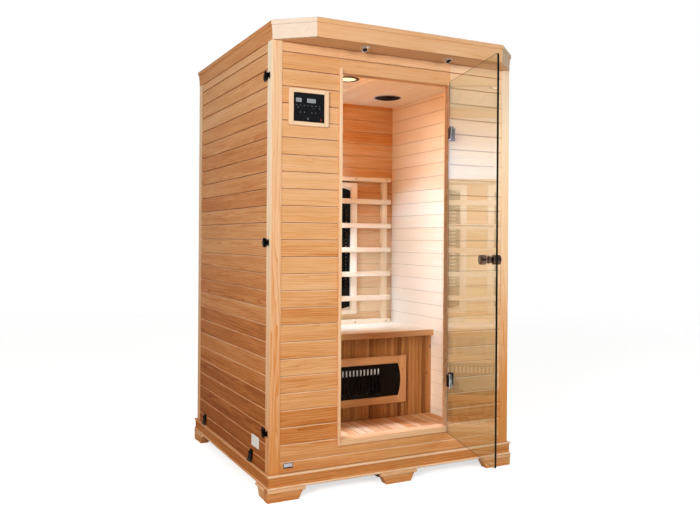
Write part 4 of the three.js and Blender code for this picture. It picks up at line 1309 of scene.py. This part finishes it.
@dataclass
class Control:
    """Control panel: a black film with two displays, four keys and an indicator, in a wooden frame."""

    mark: float = 0.35

    def build(self) -> None:
        """Builds the frame, the panel and the keys."""
        box, glass = Extent.of("control_frame"), Extent.of("control_panel")
        work = Workpiece("control_frame")
        lo, hi = box.lo, box.hi
        left, right = box.middle.x - 67.8, box.middle.x + 67.8
        low, high = box.middle.z - 57.8, box.middle.z + 57.8
        members = [(Axis.Z, (lo.x, lo.z), (left, hi.z)), (Axis.Z, (right, lo.z), (hi.x, hi.z)),
                   (Axis.X, (left, lo.z), (right, low)), (Axis.X, (left, high), (right, hi.z))]
        for number, (axis, a, b) in enumerate(members):
            grain = Grain.cut(TRIM, axis, f"control frame {number}", Vector((a[0], lo.y, a[1])), 0.35, 0.04, 0.0)
            work.block((a[0], lo.y, a[1]), (b[0], hi.y, b[1]), grain, 1.6)
        work.finish("trim", "control_frame")
        self.build_panel(glass)
        for name in ("power", "light", "minus", "plus"):
            key = Extent.of(f"key_{name}")
            work = Workpiece(f"key_{name}")
            r, depth = (key.hi.x - key.lo.x) / 2, key.hi.y - key.lo.y
            dish = [(0, 0.5), (r * 0.5, 0.4), (r * 0.8, 0.0), (r - 0.3, 0.2), (r, 0.7), (r, depth), (0, depth)]
            work.turned(dish, (key.middle.x, key.lo.y, key.middle.z), Axis.Y, KEY_RUBBER, 28)
            self.sign(work, name, key)
            work.finish("key", f"key_{name}", body=f"{name}_key")

    def sign(self, work: Workpiece, name: str, key: Extent) -> None:
        """Adds the raised sign on a key: a ring, a dot, a minus or a plus.

        Args:
            work: Key that gets the sign.
            name: Which key it is.
            key: Box of the key.
        """
        c, y = key.middle, key.lo.y
        reach = (key.hi.x - key.lo.x) * 0.26
        if name in ("power", "light"):
            ring = [(reach - 0.7, 0.5), (reach - 0.7, -0.05), (reach, -0.05), (reach, 0.5), (reach - 0.7, 0.5)]
            work.turned(ring, (c.x, y, c.z), Axis.Y, INK, 24)
        if name != "light":
            half = Vector((0.4, 0.2, reach * 0.7)) if name == "power" else Vector((reach, 0.2, 0.4))
            work.block(c * 1.0 - half + Vector((0, y + 0.2 - c.y, 0)), c + half + Vector((0, y + 0.2 - c.y, 0)), INK)
        if name == "plus":
            half = Vector((0.4, 0.2, reach))
            work.block(c - half + Vector((0, y + 0.2 - c.y, 0)), c + half + Vector((0, y + 0.2 - c.y, 0)), INK)

    def build_panel(self, box: Extent) -> None:
        """Builds the black panel with what is printed on it.

        Args:
            box: Box of the CAD panel.
        """
        work = Workpiece("control_panel")
        half_x, half_z = 67.5, 57.5
        c, face = box.middle, box.lo.y
        lo, hi = Vector((c.x - half_x, face, c.z - half_z)), Vector((c.x + half_x, face + 5, c.z + half_z))
        work.block(lo, hi, GLOSS_BLACK, 0.8)
        ink = face - self.mark
        for x0, x1, digits in ((-57.0, -33.0, 2), (-9.0, 29.0, 3)):
            work.block((c.x + x0, ink, c.z + 20), (c.x + x1, face + 1, c.z + 36), LCD, 0.3, 1)
            step = (x1 - x0) / (digits + 0.4)
            for k in range(digits):
                self.digit(work, Vector((c.x + x0 + step * (k + 0.7), ink, c.z + 28)))
        for k in range(7):
            x = c.x - 54 + 16.5 * k
            work.block((x - 3.2, ink, c.z + 7), (x + 3.2, face + 1, c.z + 8.2), INK)
            if k % 3:
                work.turned([(0, 0), (1.6, 0), (1.6, 1), (0, 1)], (x, ink, c.z - 20), Axis.Y, INK, 12)
        work.turned([(0, -0.9), (1.6, -0.6), (2.6, 0.4), (2.6, 1.2), (0, 1.2)], (c.x + 53, face, c.z - 46),
                    Axis.Y, INDICATOR, 18)
        work.finish("plastic", "control_panel")

    def digit(self, work: Workpiece, spot: Vector) -> None:
        """Adds the seven unlit bars of one digit.

        Args:
            work: Panel that gets the digit.
            spot: Middle of the digit on the display's face.
        """
        bars = [(0, 5, 2.2, 0.5), (0, 0, 2.2, 0.5), (0, -5, 2.2, 0.5)]
        bars += [(x, z, 0.5, 1.9) for x in (-3.2, 3.2) for z in (-2.5, 2.5)]
        for x, z, half_x, half_z in bars:
            centre = spot + Vector((x, 0, z))
            work.block(centre - Vector((half_x, 0.15, half_z)), centre + Vector((half_x, 0.2, half_z)), KEY_RUBBER)


@dataclass
class Door:
    """Frameless glass door on two glass hinges, with a turned knob through it, standing open."""

    open_deg: float = 75.0
    width: float = 538.0
    start: float = 3.0
    half_thick: float = 4.0
    notch: float = 24.0
    notch_half: float = 32.0
    knob_x: float = -468.0
    knob_z: float = 965.0

    def pivot(self) -> Vector:
        """Returns the hinge axis on the ground, from the frame's joint."""
        joint = next(j for j in frame["joints"] if j["name"] == "door_swing")
        return Vector(joint["pos_m"]) / MM

    def swing(self) -> Matrix:
        """Returns the turn from the closed door at the origin to the open one."""
        return Matrix.Translation(self.pivot()) @ Matrix.Rotation(math.radians(self.open_deg), 4, "Z")

    def build(self) -> None:
        """Builds the pane, the knob and the hinges."""
        box = Extent.of("door_glass")
        levels = [Extent.of(f"hinge_{which}_leaf").middle.z for which in ("lower", "upper")]
        inner, outer = -self.start, -self.width
        outline = [(inner, box.lo.z)]
        for level in levels:
            low, high = level - self.notch_half, level + self.notch_half
            deep = inner - self.notch
            outline += [(inner, low), (deep + 4, low), (deep, low + 4), (deep, high - 4), (deep + 4, high), (inner, high)]
        outline += [(inner, box.hi.z), (outer + 6, box.hi.z), (outer, box.hi.z - 6), (outer, box.lo.z + 6),
                    (outer + 6, box.lo.z)]
        work = Workpiece("door_glass")
        corners = [Vector((x, -self.half_thick, z)) for x, z in outline]
        work.prism(corners, Vector((0, 2 * self.half_thick, 0)), GLASS, 0.7, 1)
        work.refinish(lambda f: abs(f.normal.y) < 0.95, GLASS_EDGE)
        work.place(self.swing())
        work.finish("glass", "door_glass", body="door")
        self.build_knob()
        for which, level in zip(("lower", "upper"), levels):
            self.build_hinge(which, level)

    def build_knob(self) -> None:
        """Builds the knob: a washer, a neck and a grip with a groove on each side of the glass."""
        work = Workpiece("door_knob")
        side = [(15, 4.2), (15, 7), (9, 8), (8, 13), (12, 15), (17.5, 17), (19, 20), (19, 30), (18, 30.8),
                (18, 32.2), (19, 33), (19, 38), (17, 41), (10, 42), (0, 42.2)]
        profile = [(r, -h) for r, h in reversed(side)] + side
        work.turned(profile, (self.knob_x, 0, self.knob_z), Axis.Y, BROWN_CHROME, 48)
        work.place(self.swing())
        work.finish("chrome", "door_knob", body="door")

    def knuckle(self, work: Workpiece, low: float, high: float) -> None:
        """Adds a hinge knuckle with rounded ends on the axis.

        Args:
            work: Hinge half that gets it.
            low: Lower end.
            high: Upper end.
        """
        r = 6.0
        profile = [(0, low), (r - 1.2, low), (r, low + 1.2), (r, high - 1.2), (r - 1.2, high), (0, high)]
        work.turned(profile, (0, 0, 0), Axis.Z, CHROME, 28)

    def build_hinge(self, which: str, level: float) -> None:
        """Builds one hinge: the clamp on the glass and the leaf on the wall.

        Args:
            which: Lower or upper.
            level: Height of its middle.
        """
        clamp = Workpiece(f"hinge_{which}_clamp")
        for sign in (-1, 1):
            y = sorted((sign * 4.3, sign * 9.3))
            clamp.block((-46, y[0], -30), (-7, y[1], 30), CHROME, 1.6, 3)
            cap = sorted((sign * 8, sign * 10.2))
            clamp.block((-41, cap[0], -25), (-12, cap[1], 25), BLACK_STEEL, 1.0)
            for z in (-16, 16):
                head = [(0, 0.6), (4.5, 0.4), (5.5, -0.4), (5.5, -1), (0, -1)]
                flip = [(r, sign * h) for r, h in head]
                clamp.turned(flip, (-30, sign * 10.2, z), Axis.Y, DARK_CHROME, 20)
            clamp.block((-9, min(y[0], 0), 11), (0, max(y[1] - 4, 0), 30), CHROME, 0.8)
            clamp.block((-9, min(y[0] + 4, 0), -30), (0, max(y[1] - 4, 0), -11), CHROME, 0.8)
        self.knuckle(clamp, 10.5, 30)
        self.knuckle(clamp, -30, -10.5)
        clamp.place(self.swing() @ Matrix.Translation((0, 0, level)))
        clamp.finish("chrome", f"hinge_{which}_clamp", body="door")
        leaf = Workpiece(f"hinge_{which}_leaf")
        leaf.block((15.6, 2.0, -30), (40, 15.7, 30), CHROME, 1.8, 3)
        leaf.block((19, 1.2, -26), (37, 3, 26), BLACK_STEEL, 0.8)
        leaf.block((0, -3.5, -10), (17, 3.5, 10), CHROME, 1.0)
        leaf.block((12, -3.5, -10), (19, 6, 10), CHROME, 1.0)
        self.knuckle(leaf, -10.2, 10.2)
        for z in (-18, 18):
            leaf.turned([(0, -0.8), (4, -0.5), (5, 0.3), (5, 1), (0, 1)], (28, 1.2, z), Axis.Y, DARK_CHROME, 20)
        leaf.place(Matrix.Translation(self.pivot() + Vector((0, 0, level))))
        leaf.finish("chrome", f"hinge_{which}_leaf")


@dataclass
class Clasps:
    """Black draw clasps that hold the walls together: a hooked lever, its plate and a keeper."""

    half_width: float = 18.0
    reach: float = 31.0
    lip: float = 12.0
    sheet: float = 2.6

    def build(self) -> None:
        """Builds ten levers, and the fixed hardware of each side as one piece."""
        for side in Side:
            fixed = Workpiece(f"clasp_plates_{side.word}")
            for spot in ("top", "middle", "low", "base_front", "base_rear"):
                name = f"clasp_{side.word}_{spot}"
                seat = self.seat(side, Extent.of(name), "base" in spot)
                work = Workpiece(name)
                self.lever(work)
                work.place(seat)
                work.finish("black_steel", name, body=f"lever_{side.word}_{spot}")
                self.hardware(fixed, seat, "base" in spot)
            fixed.finish("black_steel")

    def seat(self, side: Side, box: Extent, base: bool) -> Matrix:
        """Works out where a clasp sits.

        Args:
            side: Side of the cabin.
            box: Box of the CAD lever.
            base: Whether it hangs down to the plinth instead of reaching to the front.

        Returns:
            Matrix from the clasp's own axes (out, along, across) to the cabin's.
        """
        out = Vector((side.value, 0, 0))
        along = Vector((0, 0, -1)) if base else Vector((0, -1, 0))
        wall = Extent.of(f"wall_{side.word}")
        face = wall.lo.x if side is Side.LEFT else wall.hi.x
        hinge = Vector((face, box.middle.y, box.lo.z + self.reach)) if base else \
            Vector((face, box.lo.y + self.reach, box.middle.z))
        matrix = Matrix((out, along, out.cross(along))).transposed().to_4x4()
        return Matrix.Translation(hinge) @ matrix

    def lever(self, work: Workpiece) -> None:
        """Adds the lever: a rolled eye, a tapering plate and a lip to pull.

        Args:
            work: Piece that gets it.
        """
        eye = arc((5.0, 0.0), 4.2, 200, -20, 10)
        outer = [(8.2, 6), (8.6, 14), (9.2, 20), (10.6, 25), (13.0, 28.4), (16.4, 30.0), (16.8, 31.0)]
        inner = [(15.0, 31.0), (11.2, 30.2), (8.6, 27.2), (7.0, 22), (6.0, 14), (5.4, 6)]
        width = self.half_width
        corners = [Vector((a, b, -width)) for a, b in [*eye, *outer, *inner]]
        work.prism(corners, Vector((0, 0, 2 * width)), BLACK_STEEL, 0.5, 1)
        for face_z in (-1, 1):
            work.turned([(0, 0), (3, 0), (3, 0.6), (0, 0.6)], (5.0, 0, face_z * width - 0.3), Axis.Z, SCREW, 16)

    def hardware(self, work: Workpiece, seat: Matrix, base: bool) -> None:
        """Adds the plate, knuckles and keeper of one clasp.

        Args:
            work: Piece that gets them.
            seat: Matrix from the clasp's axes to the cabin's.
            base: Whether the keeper stands on the plinth.
        """
        before = set(work.bm.verts)
        w = self.half_width
        work.block((0.1, -17, -w + 3), (1.8, 24, w - 3), BLACK_STEEL, 0.6, 1)
        work.block((0.1, -16, -w * 0.55), (6.5, -5.4, w * 0.55), BLACK_STEEL, 1.5)
        for z in (-9, 9):
            work.turned([(0, 1.4), (2, 1.2), (3.2, 0), (0, 0)], (1.8, -11 + 26 * (z > 0), z), Axis.X, SCREW, 12)
        if not base:
            work.block((0.1, 33, -w + 5), (1.8, 48, w - 5), BLACK_STEEL, 0.6, 1)
            work.block((1.2, 38, -w + 9), (8.5, 41, w - 9), BLACK_STEEL, 1.0)
        made = [v for v in work.bm.verts if v not in before]
        bmesh.ops.transform(work.bm, matrix=seat, verts=made)


@dataclass
class Labels:
    """A bare paper label low on the left wall and a bare plate low on the front."""

    paper: Extent = Extent(Vector((-585.5, -402.0, 178.0)), Vector((-585.0, -312.0, 226.0)))
    plate: Extent = Extent(Vector((-526.0, -523.0, 126.0)), Vector((-485.0, -521.9, 147.0)))

    def build(self) -> None:
        """Builds the label and the plate."""
        work = Workpiece("paper_label")
        work.block(self.paper.lo, self.paper.hi, PAPER, 3.0, 3, Axis.X)
        work.finish("plastic")
        work = Workpiece("front_plate")
        edge = Vector((2.0, 0.3, 2.0))
        work.block(self.plate.lo + Vector((0, 0.3, 0)), self.plate.hi, SCREW, 1.5, 2, Axis.Y)
        work.block(self.plate.lo + Vector((edge.x, 0, 5.0)), self.plate.hi - Vector((edge.x, 0, edge.z)), PLATE, 0.5)
        work.finish("plastic")


@dataclass
class Studio:
    """Camera, pale floor and soft light."""

    eye: tuple[float, float, float] = (-1637.0, -3287.0, 1040.0)
    yaw_deg: float = 26.87
    roll_deg: float = 0.4
    focal_px: float = 747.8
    horizon_px: float = 239.1
    image: tuple[int, int] = (700, 525)
    sensor_mm: float = 36.0

    def build(self) -> None:
        """Sets the stage."""
        scene = bpy.context.scene
        scene.view_settings.view_transform = "Standard"
        self.camera(scene)
        self.floor(scene)
        self.world(scene)
        self.lamp("key", (-3700, -3500, 1950), (-200, -400, 1200), 900, 150.0, "#FFFDFA")
        self.lamp("top", (-1300, -2300, 4300), (-200, -500, 900), 900, 6.0, "#FFFDFA")
        self.lamp("fill", (1200, -4200, 1800), (300, -500, 1100), 1200, 50.0, "#F4F8FF")
        self.lamp("panel", (1000, -1700, 1350), (460, -525, 980), 300, 38.0, "#D4E8FF", 80.0, 0.8)
        self.lamp("bench", (-250, 86, 800), (100, 475, 900), 60, 5.0, "#DCEEF8", 124.0, 0.9)
        self.lamp("slats", (-250, 120, 1600), (60, 450, 860), 30, 50.0, "#CCE2FF", 48.0, 0.8)
        self.lamp("door", (-260, -470, 1690), (540, -20, 1100), 60, 12.0, "#88D0F8", 44.0, 0.5)
        self.lamp("seat", (-320, -420, 1500), (440, 140, 980), 60, 22.0, "#BCE2FF", 46.0, 0.5)
        self.lamp("front", (-260, -430, 500), (330, 50, 330), 60, 9.0, "#FFF0E0", 32.0, 0.8)
        self.lamp("wall", (-330, -420, 1400), (-40, 475, 1380), 60, 54.0, "#C4DAFF", 36.0, 1.0)
        self.lamp("floor", (-250, 86, 800), (60, -340, 125), 60, 44.0, "#CCDEFF", 52.0, 0.3)
        self.lamp("glow", (28, 468, 1560), (28, 0, 1560), 360, 1.0, "#9AD6FF", mirrored=True)
        self.lamp("ceiling", (-250, -400, 1690), (330, 475, 1650), 100, 2.6, "#FFA838")

    def camera(self, scene: bpy.types.Scene) -> None:
        """Stands the level camera at the photograph's viewpoint.

        Args:
            scene: Scene that gets it.
        """
        data = bpy.data.cameras.new("camera")
        width, height = self.image
        data.sensor_width = self.sensor_mm
        data.lens = self.focal_px / width * self.sensor_mm
        data.shift_y = (self.horizon_px - height / 2) / width
        data.clip_end = 200.0
        camera = bpy.data.objects.new("camera", data)
        camera.matrix_world = (Matrix.Translation(Vector(self.eye) * MM)
                               @ Matrix.Rotation(-math.radians(self.yaw_deg), 4, "Z")
                               @ Matrix.Rotation(math.pi / 2, 4, "X")
                               @ Matrix.Rotation(math.radians(self.roll_deg), 4, "Z"))
        scene.collection.objects.link(camera)
        scene.camera = camera

    def floor(self, scene: bpy.types.Scene) -> None:
        """Lays the floor, which fades into the background far from the cabin.

        Args:
            scene: Scene that gets it.
        """
        bm = bmesh.new()
        bmesh.ops.create_grid(bm, x_segments=8, y_segments=8, size=12.0)
        mesh = bpy.data.meshes.new("studio_floor")
        bm.to_mesh(mesh)
        bm.free()
        material, tree, shader = new_material("matt_white_floor", {
            "Roughness": 0.9, "Specular IOR Level": 0.1, "Emission Color": linear("#FFFFFF")})
        seen = self.seen(tree)
        paint = add_node(tree, "ShaderNodeMix", {"data_type": "RGBA"}, {
            0: seen, 6: linear("#BDB5A9"), 7: linear("#F4F3F1")})
        shine = add_node(tree, "ShaderNodeMath", {"operation": "MULTIPLY"}, {0: seen, 1: 0.65})
        tree.links.new(paint.outputs[2], shader.inputs["Base Color"])
        tree.links.new(shine.outputs[0], shader.inputs["Emission Strength"])
        place = add_node(tree, "ShaderNodeTexCoord").outputs["Object"]
        away = add_node(tree, "ShaderNodeVectorMath", {"operation": "LENGTH"}, {0: place}).outputs["Value"]
        fade = add_node(tree, "ShaderNodeMapRange", {"interpolation_type": "SMOOTHSTEP"}, {
            "Value": away, "From Min": 2.5, "From Max": 9.0})
        clear = add_node(tree, "ShaderNodeBsdfTransparent")
        both = add_node(tree, "ShaderNodeMixShader", None, {
            0: fade.outputs["Result"], 1: shader.outputs[0], 2: clear.outputs[0]})
        tree.links.new(both.outputs[0], tree.nodes["Material Output"].inputs["Surface"])
        mesh.materials.append(material)
        floor = bpy.data.objects.new("studio_floor", mesh)
        scene.collection.objects.link(floor)

    def world(self, scene: bpy.types.Scene) -> None:
        """Hangs a white background, which lights the cabin less than it shows.

        Args:
            scene: Scene that gets it.
        """
        world = bpy.data.worlds.new("studio")
        scene.world = world
        world.use_nodes = True
        tree = world.node_tree
        way = add_node(tree, "ShaderNodeSeparateXYZ", None, {
            0: add_node(tree, "ShaderNodeTexCoord").outputs["Generated"]})
        sky = add_node(tree, "ShaderNodeMapRange", None, {
            "Value": way.outputs["Z"], "From Min": -0.2, "From Max": 0.5, "To Min": 0.1, "To Max": 0.25})
        rear = add_node(tree, "ShaderNodeMapRange", None, {
            "Value": way.outputs["Y"], "From Min": 0.25, "From Max": 1.0, "To Max": 0.6})
        both = add_node(tree, "ShaderNodeMath", {"operation": "ADD"}, {
            0: sky.outputs["Result"], 1: rear.outputs["Result"]})
        power = add_node(tree, "ShaderNodeMapRange", None, {
            "Value": self.seen(tree), "To Min": both.outputs[0], "To Max": 1.0})
        back = tree.nodes["Background"]
        back.inputs["Color"].default_value = linear("#FFFFFF")
        tree.links.new(power.outputs["Result"], back.inputs["Strength"])

    def seen(self, tree: bpy.types.NodeTree) -> bpy.types.NodeSocket:
        """Tells what is looked at, also through glass, from what only lights other pieces.

        Args:
            tree: Node tree that gets the nodes.

        Returns:
            A socket that is 1 for what is looked at.
        """
        path = add_node(tree, "ShaderNodeLightPath")
        direct = add_node(tree, "ShaderNodeMath", {"operation": "LESS_THAN"}, {
            0: path.outputs["Diffuse Depth"], 1: 0.5})
        through = add_node(tree, "ShaderNodeMath", {"operation": "MULTIPLY"}, {
            0: direct.outputs[0], 1: path.outputs["Is Transmission Ray"]})
        return add_node(tree, "ShaderNodeMath", {"operation": "MAXIMUM"}, {
            0: path.outputs["Is Camera Ray"], 1: through.outputs[0]}).outputs[0]

    def lamp(self, name: str, at: Sequence[float], to: Sequence[float], size: float, watts: float,
             colour: str, beam: float = 0.0, blend: float = 0.2, mirrored: bool = False) -> None:
        """Adds a soft lamp.

        Args:
            name: Name of the lamp.
            at: Where it hangs.
            to: What it points at.
            size: Side of its square face, or its width.
            watts: Its power.
            colour: Its colour.
            beam: Opening angle of a spotlight in degrees, or 0 for a flat lamp.
            blend: Softness of the spotlight's edge.
            mirrored: Whether polished faces mirror it.
        """
        data = bpy.data.lights.new(name, "SPOT" if beam else "AREA")
        data.energy = watts
        data.color = linear(colour)[:3]
        if beam:
            data.spot_size = math.radians(beam)
            data.spot_blend = blend
            data.shadow_soft_size = size * MM / 2
        else:
            data.size = size * MM
        lamp = bpy.data.objects.new(name, data)
        lamp.location = Vector(at) * MM
        lamp.visible_camera = lamp.visible_transmission = False
        lamp.visible_glossy = mirrored
        if mirrored:  # fades out towards its top
            data.use_nodes = True
            place = add_node(data.node_tree, "ShaderNodeSeparateXYZ", None, {
                0: add_node(data.node_tree, "ShaderNodeNewGeometry").outputs["Parametric"]})
            fade = add_node(data.node_tree, "ShaderNodeMapRange", {"interpolation_type": "SMOOTHSTEP"}, {
                "Value": place.outputs["Y"], "From Min": 0.1, "From Max": 1.0, "To Min": 1.0, "To Max": 0.2})
            data.node_tree.links.new(fade.outputs["Result"], data.node_tree.nodes["Emission"].inputs["Strength"])
        lamp.rotation_euler = (Vector(to) - Vector(at)).to_track_quat("-Z", "Y").to_euler()
        bpy.context.scene.collection.objects.link(lamp)


def main() -> None:
    """Builds the cabin's sub-assemblies in order, then the studio."""
    logging.basicConfig(level=logging.INFO, format="%(message)s")
    for part in (Plinth(), Floor(), Walls(), FrontWall(), DoorLining(), Roof(), Fittings(), Bench(), Heaters(),
                 Backrest(), Control(), Door(), Clasps(), Labels(), Studio()):
        LOG.info("building %s", type(part).__name__)
        part.build()


if __name__ == "__main__":
    main()
